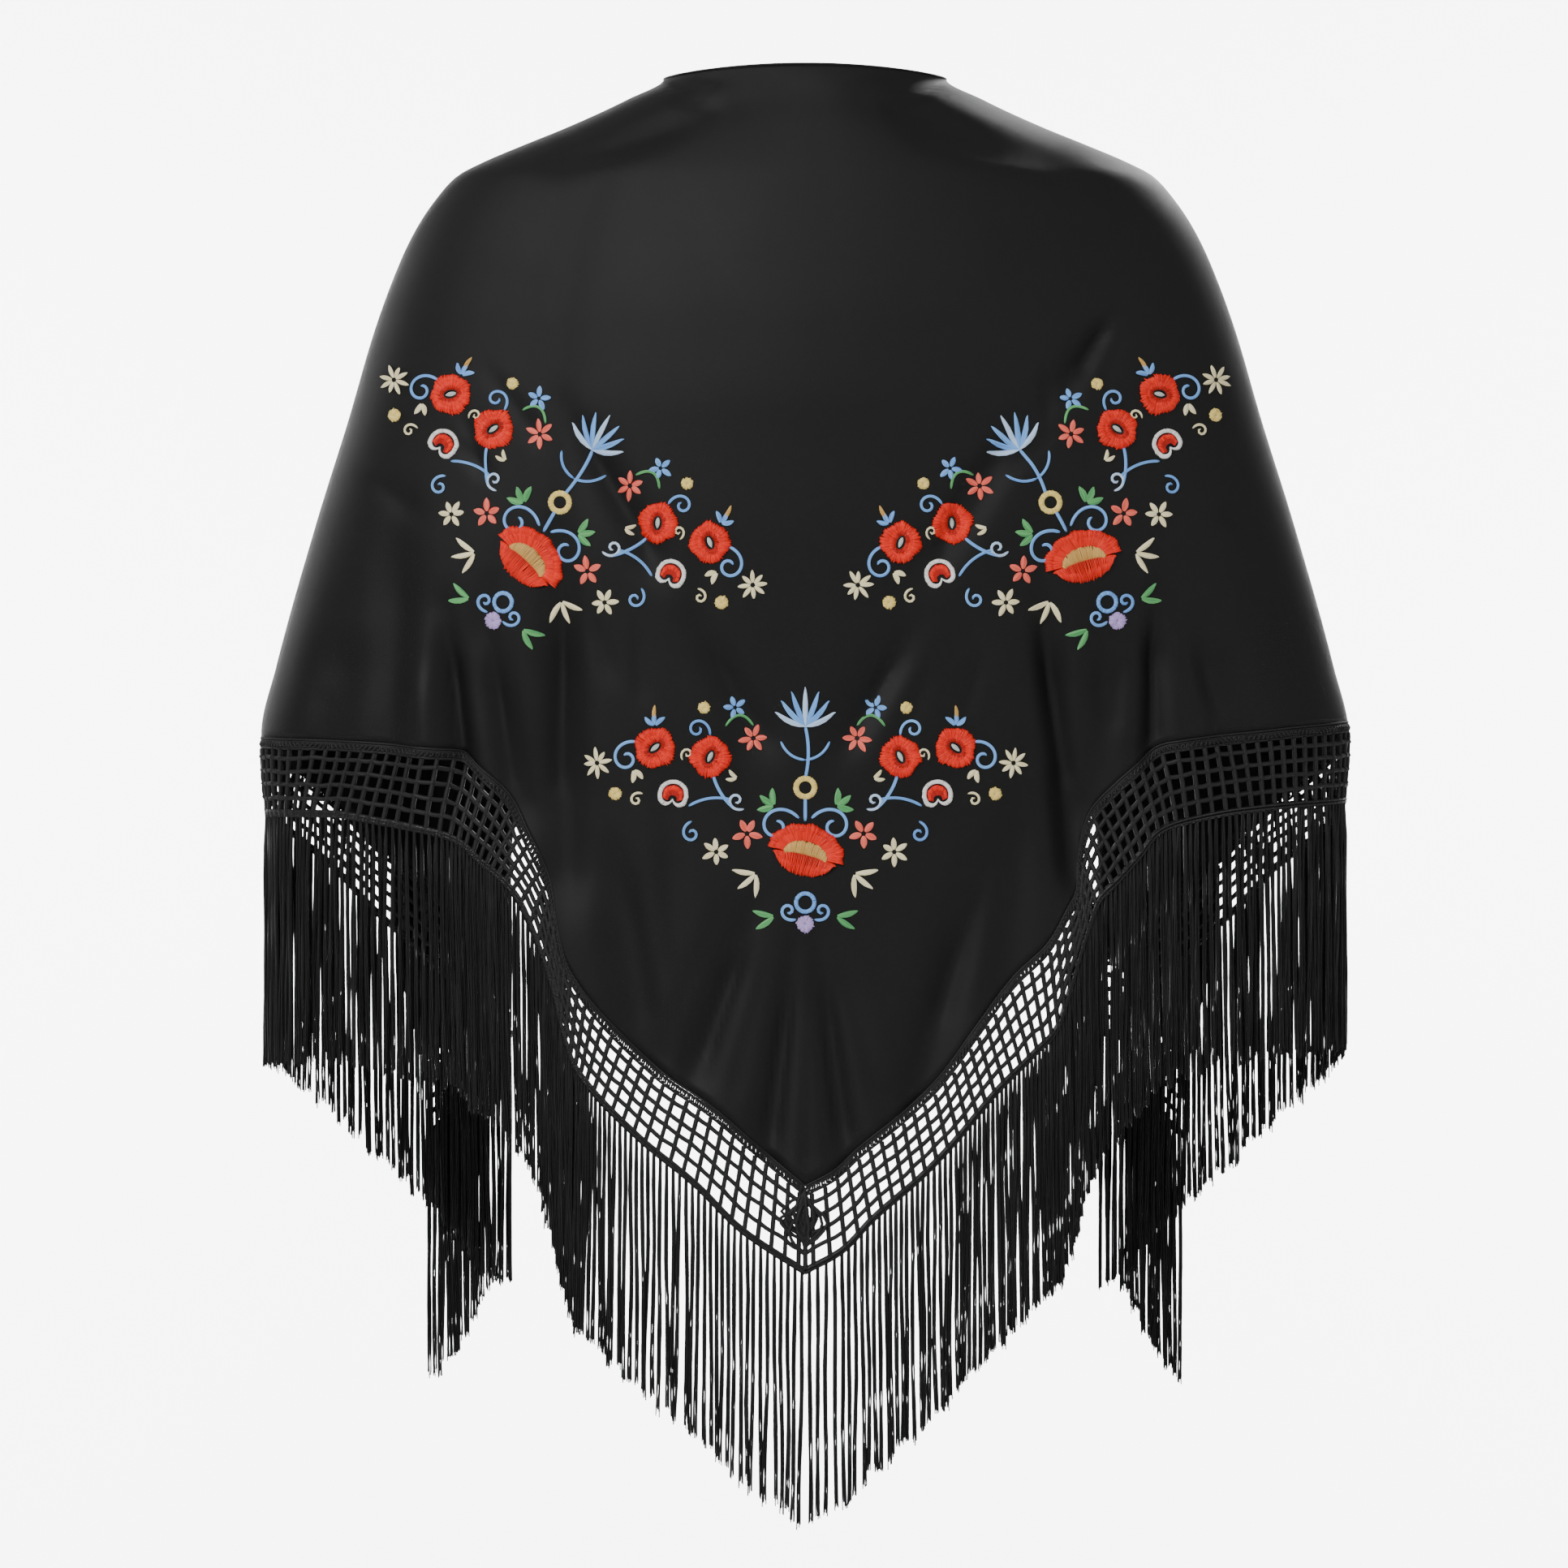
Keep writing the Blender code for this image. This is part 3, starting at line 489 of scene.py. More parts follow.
def hem_line(back_hem):
    """Way round and drop of the cloth's edge and of the net's, with the length along the hem."""
    line = {}
    for edge in ("cloth", "net"):
        across, down = HEM_COLUMNS.index(edge + "_across"), HEM_COLUMNS.index(edge + "_drop")
        back_across, back_drop = back_hem[:, across], back_hem[:, down]
        front_across, front_drop = FRONT_HEM[:, across], FRONT_HEM[:, down]
        flap_across, flap_drop = FLAP_HEM[:, across], FLAP_HEM[:, down]
        way = np.concatenate([way_on_back(back_across, back_drop),
                              way_on_front(front_across, front_drop), [2.0, 2.0 + FOLD_SHARE],
                              way_on_flap(flap_across, flap_drop), [3.0]])
        way[len(back_across) - 1] = 1.0
        line[edge + "_way"] = way
        line[edge + "_drop"] = np.concatenate([back_drop, front_drop, [FOLD_HEM[edge]] * 2,
                                               flap_drop, [TIP_HEM[edge]]])
    points, _ = surface(line["cloth_way"], line["cloth_drop"])
    steps = np.linalg.norm(np.diff(points, axis=0), axis=1)
    line["length"] = np.concatenate([[0.0], np.cumsum(steps)])
    outline = len(back_hem) - 1
    fold = outline + len(FRONT_HEM) + 1
    line["marks"] = line["length"][[0, outline, fold, fold + 1, -1]]
    return line


def columns_at(line, side, at):
    """Columns of one side at lengths along the hem from the spine."""
    even = np.interp(at, line["marks"], [0.0, 1.0, 2.0, 2.0 + FOLD_SHARE, 3.0])
    way = smooth_through(line["length"], line["cloth_way"], at)
    return {
        "top_way": side * (way + even) / 2,
        "cloth_way": side * way,
        "cloth_drop": smooth_through(line["length"], line["cloth_drop"], at),
        "net_way": side * smooth_through(line["length"], line["net_way"], at),
        "net_drop": smooth_through(line["length"], line["net_drop"], at),
    }


def neck_drop(way):
    """The drop of the cloth's long edge round the neck."""
    rise = np.cos(np.minimum(np.abs(way), 1.0) * math.pi / 2) ** 2
    return NECK_DROP - NECK_RISE * rise


def net_length(columns):
    """How far the net reaches below the cloth."""
    top, _ = surface(columns["cloth_way"], columns["cloth_drop"])
    bottom, _ = surface(columns["net_way"], columns["net_drop"])
    return np.linalg.norm(bottom - top, axis=-1)


def below_hem(columns, distance):
    """Points and normals at a distance below the cloth's edge, along the net."""
    share = distance / net_length(columns)
    way = columns["cloth_way"] + (columns["net_way"] - columns["cloth_way"]) * share
    drop = columns["cloth_drop"] + (columns["net_drop"] - columns["cloth_drop"]) * share
    return surface(way, drop)


HEMS = {"left": (hem_line(BACK_HEM_LEFT), -1.0), "right": (hem_line(BACK_HEM_RIGHT), 1.0)}


# Shader maths

class Value:
    """A socket that adds its own Math nodes when it is used in an expression."""

    def __init__(self, paint, socket):
        self.paint, self.socket = paint, socket

    def maths(self, operation, first, second=None):
        inputs = [first] if second is None else [first, second]
        return self.paint.node("ShaderNodeMath", {"operation": operation}, inputs)

    def __add__(self, other):
        return self.maths("ADD", self, other)

    def __sub__(self, other):
        return self.maths("SUBTRACT", self, other)

    def __mul__(self, other):
        return self.maths("MULTIPLY", self, other)

    def sine(self):
        return self.maths("SINE", self)


class Paint:
    """A material whose nodes are added one call at a time."""

    def __init__(self, name, **constants):
        self.material = bpy.data.materials.new(name)
        self.material.use_nodes = True
        self.tree = self.material.node_tree
        self.shader = self.tree.nodes["Principled BSDF"]
        self.material.diffuse_color = (*constants.get("base_color", (0.5, 0.5, 0.5)), 1.0)
        for key, value in constants.items():
            socket = self.shader.inputs[key.replace("_", " ").title().replace("Ior", "IOR")]
            socket.default_value = (*value, 1.0) if isinstance(value, tuple) else value

    def node(self, kind, settings=None, inputs=None, output=0):
        node = self.tree.nodes.new(kind)
        for key, value in (settings or {}).items():
            setattr(node, key, value)
        pairs = inputs.items() if isinstance(inputs, dict) else enumerate(inputs or [])
        for key, value in pairs:
            if isinstance(value, Value):
                self.tree.links.new(value.socket, node.inputs[key])
            else:
                node.inputs[key].default_value = value
        return Value(self, node.outputs[output])

    def feed(self, name, value):
        self.tree.links.new(value.socket, self.shader.inputs[name])

    def coordinates(self):
        return self.node("ShaderNodeTexCoord", output="Object")

    def noise(self, scale, detail=2.0, vector=None):
        inputs = {"Vector": vector or self.coordinates(), "Scale": scale, "Detail": detail}
        return self.node("ShaderNodeTexNoise", {}, inputs)

    def attribute(self, name):
        return self.node("ShaderNodeAttribute", {"attribute_name": name}, output=2)

    def uv(self, axis):
        uv = self.node("ShaderNodeUVMap", {"uv_map": "UVMap"})
        return self.node("ShaderNodeSeparateXYZ", {}, [uv], axis)

    def mix(self, factor, first, second):
        return self.node("ShaderNodeMix", {"data_type": "RGBA"}, {0: factor, 6: first, 7: second}, 2)

    def bump(self, height, strength, distance):
        normal = self.node("ShaderNodeBump", {}, {"Strength": strength, "Distance": distance,
                                                  "Height": height})
        self.feed("Normal", normal)


def colour(red, green, blue):
    """An opaque colour."""
    return (red, green, blue, 1.0)


def cloth_paint():
    """Fine black cloth: a close plain weave with a soft sheen and slubs along the threads."""
    paint = Paint("black_cloth", roughness=0.5, specular_ior_level=0.2)
    thread_turns = 2 * math.pi / WEAVE_PITCH
    warp = (paint.uv(0) * thread_turns).sine()
    weft = (paint.uv(1) * thread_turns).sine()
    cloud = paint.noise(14.0, 3.0)
    grain = paint.noise(900.0, 2.0)
    shade = cloud * 0.6 + grain * 0.4
    paint.feed("Base Color", paint.mix(shade, colour(0.0032, 0.0032, 0.0034),
                                       colour(0.0070, 0.0069, 0.0068)))
    paint.feed("Roughness", cloud * 0.14 + 0.46)
    paint.bump(warp * weft * 0.5 + grain, 0.25, 0.0003)
    return paint.material


def cord_paint(name, dark, light, roughness, scale):
    """Twisted black yarn."""
    paint = Paint(name, roughness=roughness, specular_ior_level=0.35)
    fibre = paint.noise(scale, 3.0)
    tone = paint.attribute("tone")
    paint.feed("Base Color", paint.mix(fibre * 0.4 + tone * 0.6, colour(*dark), colour(*light)))
    paint.feed("Roughness", fibre * 0.15 + tone * 0.15 + (roughness - 0.15))
    paint.bump(fibre, 0.5, 0.0004)
    return paint.material


# Silks of the embroidery: the deep and the light tone of each
SILKS = {
    "red": ((0.58, 0.006, 0.003), (1.0, 0.04, 0.012)),
    "deep_red": ((0.32, 0.006, 0.004), (0.6, 0.02, 0.01)),
    "coral": ((0.72, 0.06, 0.04), (0.98, 0.24, 0.17)),
    "blue": ((0.10, 0.26, 0.68), (0.26, 0.56, 0.98)),
    "pale_blue": ((0.38, 0.56, 0.82), (0.66, 0.80, 0.95)),
    "green": ((0.04, 0.24, 0.08), (0.18, 0.55, 0.19)),
    "yellow": ((0.72, 0.50, 0.09), (0.95, 0.80, 0.30)),
    "cream": ((0.74, 0.64, 0.33), (0.98, 0.93, 0.66)),
    "white": ((0.78, 0.78, 0.74), (0.92, 0.92, 0.90)),
    "ochre": ((0.50, 0.27, 0.06), (0.72, 0.45, 0.14)),
    "grey": ((0.42, 0.46, 0.42), (0.66, 0.70, 0.64)),
    "purple": ((0.36, 0.24, 0.56), (0.60, 0.46, 0.78)),
    "dark": ((0.01, 0.01, 0.012), (0.03, 0.03, 0.032)),
}


def silk_paint(name, deep, light):
    """Floss silk: tones that change from stitch to stitch, with a soft gloss."""
    paint = Paint("silk_" + name, roughness=0.45, specular_ior_level=0.3)
    strand = paint.noise(900.0, 2.0)
    cloud = paint.noise(120.0, 2.0)
    tone = strand * 0.25 + cloud * 0.25 + paint.attribute("tone") * 0.6
    paint.feed("Base Color", paint.mix(tone - 0.05, colour(*deep), colour(*light)))
    paint.feed("Roughness", strand * 0.25 + 0.32)
    paint.bump(strand, 0.4, 0.0003)
    return paint.material


def stage_paint():
    paint = Paint("pale_floor", roughness=0.9, specular_ior_level=0.1)
    speck = paint.noise(3.0, 2.0)
    paint.feed("Base Color", paint.mix(speck, colour(0.93, 0.93, 0.93), colour(0.95, 0.95, 0.95)))
    return paint.material


# Mesh helpers

def add_mesh(name, points, faces, material, uvs=None, edges=()):
    mesh = bpy.data.meshes.new(name)
    mesh.from_pydata([tuple(p) for p in points], list(edges), faces)
    if uvs is not None:
        layer = mesh.uv_layers.new(name="UVMap")
        corners = np.array([loop.vertex_index for loop in mesh.loops])
        layer.data.foreach_set("uv", np.asarray(uvs)[corners].ravel())
    if material:
        mesh.materials.append(material)
    if faces:
        mesh.shade_smooth()
    item = bpy.data.objects.new(name, mesh)
    bpy.context.scene.collection.objects.link(item)
    return item


def plain_mesh(item):
    """Applies an object's modifiers and leaves a plain mesh."""
    graph = bpy.context.evaluated_depsgraph_get()
    mesh = bpy.data.meshes.new_from_object(item.evaluated_get(graph))
    item.modifiers.clear()
    item.data = mesh
    return item


def ride(item, nodes=()):
    """Hangs a piece on the shawl, in its finish and in place of its solids."""
    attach(item, "root")
    if nodes:
        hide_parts(*nodes)
    return item


def grid_faces(rows, columns):
    """Four-sided faces over a grid of points."""
    index = np.arange(rows * columns).reshape(rows, columns)
    quads = np.stack([index[:-1, :-1], index[1:, :-1], index[1:, 1:], index[:-1, 1:]], axis=-1)
    return quads.reshape(-1, 4).tolist()


def cord_tree():
    """Geometry Nodes: round cords along a mesh's edges, each point scaled by its thin attribute."""
    tree = bpy.data.node_groups.new("cord_along_edges", "GeometryNodeTree")
    face = tree.interface
    face.new_socket("Geometry", in_out="INPUT", socket_type="NodeSocketGeometry")
    face.new_socket("Cord Radius", in_out="INPUT", socket_type="NodeSocketFloat")
    face.new_socket("Sides", in_out="INPUT", socket_type="NodeSocketInt")
    face.new_socket("Finish", in_out="INPUT", socket_type="NodeSocketMaterial")
    face.new_socket("Geometry", in_out="OUTPUT", socket_type="NodeSocketGeometry")
    nodes, links = tree.nodes, tree.links
    given = nodes.new("NodeGroupInput")
    result = nodes.new("NodeGroupOutput")
    to_curve = nodes.new("GeometryNodeMeshToCurve")
    circle = nodes.new("GeometryNodeCurvePrimitiveCircle")
    thin = nodes.new("GeometryNodeInputNamedAttribute")
    thin.data_type = "FLOAT"
    thin.inputs["Name"].default_value = "thin"
    tube = nodes.new("GeometryNodeCurveToMesh")
    tube.inputs["Fill Caps"].default_value = True
    realize = nodes.new("GeometryNodeRealizeInstances")
    coat = nodes.new("GeometryNodeSetMaterial")
    smooth = nodes.new("GeometryNodeSetShadeSmooth")
    links.new(given.outputs["Geometry"], to_curve.inputs["Mesh"])
    links.new(given.outputs["Cord Radius"], circle.inputs["Radius"])
    links.new(given.outputs["Sides"], circle.inputs["Resolution"])
    links.new(to_curve.outputs["Curve"], tube.inputs["Curve"])
    links.new(thin.outputs["Attribute"], tube.inputs["Scale"])
    links.new(circle.outputs["Curve"], tube.inputs["Profile Curve"])
    links.new(tube.outputs["Mesh"], smooth.inputs["Geometry"])
    links.new(smooth.outputs["Geometry"], realize.inputs["Geometry"])
    links.new(realize.outputs["Geometry"], coat.inputs["Geometry"])
    links.new(given.outputs["Finish"], coat.inputs["Material"])
    links.new(coat.outputs["Geometry"], result.inputs["Geometry"])
    return tree


CORDS = cord_tree()


def set_inputs(modifier, tree, values):
    """Sets a modifier's inputs by their names in the tree."""
    names = {item.name: item.identifier for item in tree.interface.items_tree
             if item.item_type == "SOCKET" and item.in_out == "INPUT"}
    for name, value in values.items():
        modifier[names[name]] = value


def add_cords(name, paths, radius, sides, material):
    """Round cords along paths; a path is points in millimetres and a share of the radius at each."""
    points, edges, thin, tone = [], [], [], []
    for path, thinness in paths:
        start = len(points)
        tone.extend([RNG.uniform()] * len(path))
        points.extend(np.asarray(path) * MM)
        thin.extend(np.broadcast_to(thinness, len(path)))
        edges.extend((start + i, start + i + 1) for i in range(len(path) - 1))
    item = add_mesh(name, points, [], None, edges=edges)
    for layer_name, values in (("thin", thin), ("tone", tone)):
        layer = item.data.attributes.new(layer_name, "FLOAT", "POINT")
        layer.data.foreach_set("value", np.asarray(values, dtype=np.float32))
    modifier = item.modifiers.new("cords", "NODES")
    modifier.node_group = CORDS
    set_inputs(modifier, CORDS, {"Cord Radius": radius * MM, "Sides": sides, "Finish": material})
    return plain_mesh(item)


# The cloth

def fine_columns(side_name):
    """Columns of one side, closer together on the back."""
    line, side = HEMS[side_name]
    marks = line["marks"]
    at = np.concatenate([spaced(marks[0], marks[1], FINE_BACK), spaced(marks[1], marks[2], FINE_FRONT),
                         spaced(marks[2], marks[3], FINE_TURN),
                         np.linspace(marks[3], marks[4], FINE_FLAP + 1)])
    return columns_at(line, side, at)


def cloth_columns():
    """Columns of the whole cloth, from the left tip to the right one, and their tops."""
    left, right = fine_columns("left"), fine_columns("right")
    columns = {name: np.concatenate([left[name][:0:-1], right[name]]) for name in left}
    return columns, neck_drop(columns["top_way"])


def make_cloth(material):
    """The hanging cloth, with its own thickness and the lie of its weave."""
    columns, top = cloth_columns()
    share = np.linspace(0.0, 1.0, FINE_ROWS + 1)[:, None] ** ROW_CROWDING
    drop = top + (columns["cloth_drop"] - top) * share
    way = columns["top_way"] + (columns["cloth_way"] - columns["top_way"]) * share
    points, _ = surface(way, drop)
    rows, count = way.shape
    across = np.concatenate([[0.0], np.cumsum(np.linalg.norm(np.diff(points[-1], axis=0), axis=1))])
    uvs = np.stack([np.broadcast_to(across, (rows, count)), -drop], axis=-1).reshape(-1, 2) * MM
    item = add_mesh("shawl_cloth", points.reshape(-1, 3) * MM, grid_faces(rows, count), material, uvs)
    wall = item.modifiers.new("wall", "SOLIDIFY")
    wall.thickness = CLOTH_THICK * MM
    wall.offset = 0.0
    wall.use_even_offset = False
    plain_mesh(item)
    item.data.shade_smooth()
    ride(item, ["cloth_panel"])
    return item


def make_rolled_edge(material):
    """The narrow rolled hem along the cloth's long edge."""
    columns, top = cloth_columns()
    neck, _ = surface(columns["top_way"], top)
    share = np.linspace(0.0, 1.0, FINE_ROWS + 1) ** ROW_CROWDING
    paths = []
    for tip in (0, -1):
        drop = top[tip] + (columns["cloth_drop"][tip] - top[tip]) * share
        way = columns["top_way"][tip] + (columns["cloth_way"][tip] - columns["top_way"][tip]) * share
        points, _ = surface(way, drop)
        paths.append((points, 1.0))
    paths.append((neck, 1.0))
    item = add_cords("rolled_edge", paths, ROLLED_EDGE, 8, material)
    return ride(item)


# The braid, the net and the fringe

def hem_marks(side_name, pitch):
    """Even marks along one hem."""
    line, side = HEMS[side_name]
    total = line["marks"][-1]
    count = int(round(total / pitch))
    return line, side, (np.arange(count) + 0.5) * total / count


def make_braid(side_name, material):
    """Crocheted edging: a row of crossed loops between two cords."""
    line, side = HEMS[side_name]
    total = line["marks"][-1]
    at = np.linspace(0.0, total, int(total / BRAID_STEP))
    columns = columns_at(line, side, at)
    paths = []
    for edge, thin in BRAID_EDGES:
        points, normals = below_hem(columns, SEAM_GAP + edge)
        wobble = 0.25 * np.sin(at * 2 * math.pi / 3.1 + edge)[:, None]
        paths.append((points + normals * wobble, thin))
    for phase, lift in ((0.0, 0.5), (0.5, -0.1)):
        sway = np.sin((at / BRAID_LOOP + phase) * 2 * math.pi)
        points, normals = below_hem(columns, SEAM_GAP + 3.8 + 2.2 * sway)
        height = lift + 0.55 * np.cos((at / BRAID_LOOP + phase) * 4 * math.pi)
        paths.append((points + normals * height[:, None], 1.0))
    item = add_cords("braid_cords_" + side_name, paths, BRAID_CORD, 6, material)
    return ride(item, ["braid_" + side_name])


def net_nodes(side_name):
    """Knots of the net: a grid of points and normals, rows from the braid down."""
    line, side, at = hem_marks(side_name, NET_CELL)
    columns = columns_at(line, side, np.concatenate([[0.0], at]))
    top = BRAID_WIDTH + SEAM_GAP
    bottom = net_length(columns)
    jitter = RNG.normal(0.0, 0.4, (len(NET_ROW_SHARES), len(at) + 1))
    rows = [below_hem(columns, top + (bottom - top) * s + jitter[i] * (0 < s < 1))
            for i, s in enumerate(NET_ROW_SHARES)]
    points = np.stack([row[0] for row in rows])
    normals = np.stack([row[1] for row in rows])
    return points, normals


def cord_between(start, end, normal, sag, count=5):
    """A slightly bowed cord between two knots."""
    t = np.linspace(0.0, 1.0, count)[:, None]
    bow = (4 * t * (1 - t)) * (sag[0] * normal + sag[1] * np.array([0.0, 0.0, -1.0]))
    return start + (end - start) * t + bow


def make_net(side_name, material):
    """Cords from knot to knot, with a wrap of cord at each knot."""
    points, normals = net_nodes(side_name)
    rows, count = points.shape[:2]
    paths = []
    for r in range(rows):
        for c in range(count):
            if r + 1 < rows:
                sag = RNG.normal(0.0, 0.22, 2)
                paths.append((cord_between(points[r, c], points[r + 1, c], normals[r, c], sag), 1.0))
            if c + 1 < count and 0 < r < rows - 1:
                sag = RNG.normal(0.0, 0.2, 2) + (0.0, 0.35)
                paths.append((cord_between(points[r, c], points[r, c + 1], normals[r, c], sag), 1.0))
    for r in range(1, rows - 1):
        for c in range(count):
            run = points[r, min(c + 1, count - 1)] - points[r, max(c - 1, 0)]
            run /= np.linalg.norm(run)
            tilt = np.array([0.0, 0.0, 0.5])
            spot = points[r, c] + normals[r, c] * 0.2
            paths.append((np.array([spot - (run + tilt) * 0.75, spot, spot + (run + tilt) * 0.75]),
                          np.array([0.9, 1.35, 0.9])))
    item = add_cords("net_cords_" + side_name, paths, NET_CORD, 6, material)
    return ride(item, ["net_" + side_name])


def make_point_knot(material):
    """The knot that gathers the two nets at the point, with its short tuft."""
    line, side = HEMS["right"]
    columns = columns_at(line, side, np.array([0.0]))
    paths = []
    for _ in range(KNOT_TURNS):
        start = BRAID_WIDTH + RNG.uniform(-3.0, 8.0)
        end = start + RNG.uniform(18.0, 32.0)
        steps = np.linspace(0.0, 1.0, 7)
        across = RNG.normal(0.0, 7.0)
        swell = np.sin(math.pi * steps) * across + RNG.normal(0.0, 0.7, 7)
        middle = [below_hem(columns, start + (end - start) * t) for t in steps]
        points = np.concatenate([m[0] for m in middle])
        normals = np.concatenate([m[1] for m in middle])
        lift = 0.6 + RNG.uniform(0.0, 2.4) * np.sin(math.pi * steps)
        points = points + normals * lift[:, None]
        points[:, 0] += swell
        paths.append((points, 1.0))
    item = add_cords("point_knot", paths, KNOT_CORD, 5, material)
    return ride(item)


def make_fringe(side_name, part, first, last, material):
    """Bundles of fine threads looped into the net's lower cord, between two marks of the hem."""
    line, side, at = hem_marks(side_name, NET_CELL)
    chosen = (at > line["marks"][first]) & (at < line["marks"][last])
    fine = np.linspace(line["marks"][first], line["marks"][last], HEADING_POINTS)
    edge_columns = columns_at(line, side, fine)
    paths = []
    for drop, thin in FRINGE_HEADING:
        edge, edge_normals = below_hem(edge_columns, net_length(edge_columns) + drop)
        ripple = 0.35 * np.sin(fine * 2 * math.pi / 2.6 + drop * 3)[:, None]
        paths.append((edge + edge_normals * ripple, thin))
    pitch = at[1] - at[0]
    places = np.concatenate([at[chosen] + pitch * ((i + 0.5) / STRANDS_A_CELL - 0.5)
                             for i in range(STRANDS_A_CELL)])
    columns = columns_at(line, side, np.sort(places))
    roots, normals = below_hem(columns, net_length(columns) + SEAM_GAP + STRIP_WIDTH - 1.6)
    runs = np.gradient(roots, axis=0)
    runs[:, 2] = 0.0
    runs /= np.linalg.norm(runs, axis=1, keepdims=True)
    share = np.array(THREAD_SHARES)
    drift = np.cumsum(RNG.normal(0.0, 0.5, len(roots)))
    drift -= np.linspace(drift[0], drift[-1], len(drift))
    for index, (root, normal, run) in enumerate(zip(roots, normals, runs)):
        flat = normal * (1.0, 1.0, 0.0)
        flat /= np.linalg.norm(flat)
        swing = RNG.normal(0.0, 0.9) + np.clip(drift[index], -2.5, 2.5)
        strand_length = FRINGE_LENGTH + RNG.normal(-1.0, 2.2)
        bend, bend_phase = RNG.uniform(0.1, 0.7), RNG.uniform(0.0, 6.3)
        layer = RNG.normal(0.0, 0.7)
        for thread in range(THREADS_A_STRAND):
            turn = 2 * math.pi * thread / THREADS_A_STRAND
            loosening = RNG.uniform(0.0, 0.45) * share ** 2
            spread = STRAND_RADIUS * (0.55 + 0.45 * ease(share / 0.12) + loosening)
            twist = turn + share * 5.0
            ripple = bend * np.sin(share * 7.0 + bend_phase) * ease(share * 3)
            sideways = spread * np.cos(twist) + swing * share ** 1.4 + ripple
            outwards = spread * 0.8 * np.sin(twist) + layer * ease(share * 6) + 0.6 * ripple
            length = strand_length + RNG.normal(0.0, 1.8)
            path = (root + run * sideways[:, None] + flat * outwards[:, None]
                    - np.array([0.0, 0.0, 1.0]) * (share * length)[:, None])
            paths.append((path, np.linspace(1.1, 0.8, len(share))))
    item = add_cords(f"fringe_{part}_threads_{side_name}", paths, FRINGE_THREAD, 3, material)
    return ride(item, [f"fringe_{part}_{side_name}"])


# Embroidery

def on_cloth(places, height):
    """Points on the back of the cloth, from millimetres across and down, lifted by a height."""
    x, drop = np.asarray(places, dtype=float).T
    way = way_on_back(np.minimum(np.abs(x), figure("half_width", drop) * 0.995), drop)
    points, normals = surface(np.where(x < 0, -way, way), drop)
    return points + normals * (CLOTH_THICK / 2 + np.asarray(height))[:, None]


def smooth_path(points, count):
    """A smooth line through a few places."""
    points = np.asarray(points, dtype=float)
    reach = np.concatenate([[0.0], np.cumsum(np.linalg.norm(np.diff(points, axis=0), axis=1))])
    if len(points) < 3:
        at = np.linspace(0.0, reach[-1], count)
        return np.stack([np.interp(at, reach, points[:, k]) for k in (0, 1)], axis=1)
    slope = np.gradient(points, reach, axis=0)
    at = np.linspace(0.0, reach[-1], count)
    i = np.clip(np.searchsorted(reach, at) - 1, 0, len(points) - 2)
    step = (reach[i + 1] - reach[i])[:, None]
    t = (at - reach[i])[:, None] / step
    start = (1 + 2 * t) * (1 - t) ** 2 * points[i] + t * (1 - t) ** 2 * step * slope[i]
    return start + t * t * (3 - 2 * t) * points[i + 1] + t * t * (t - 1) * step * slope[i + 1]


def turned(points, centre, size, turn):
    """Points turned, and moved to their place."""
    points = np.asarray(points, dtype=float) * size
    c, s = math.cos(math.radians(turn)), math.sin(math.radians(turn))
    return np.stack([points[:, 0] * c - points[:, 1] * s, points[:, 0] * s + points[:, 1] * c],
                    axis=1) + np.asarray(centre, dtype=float)


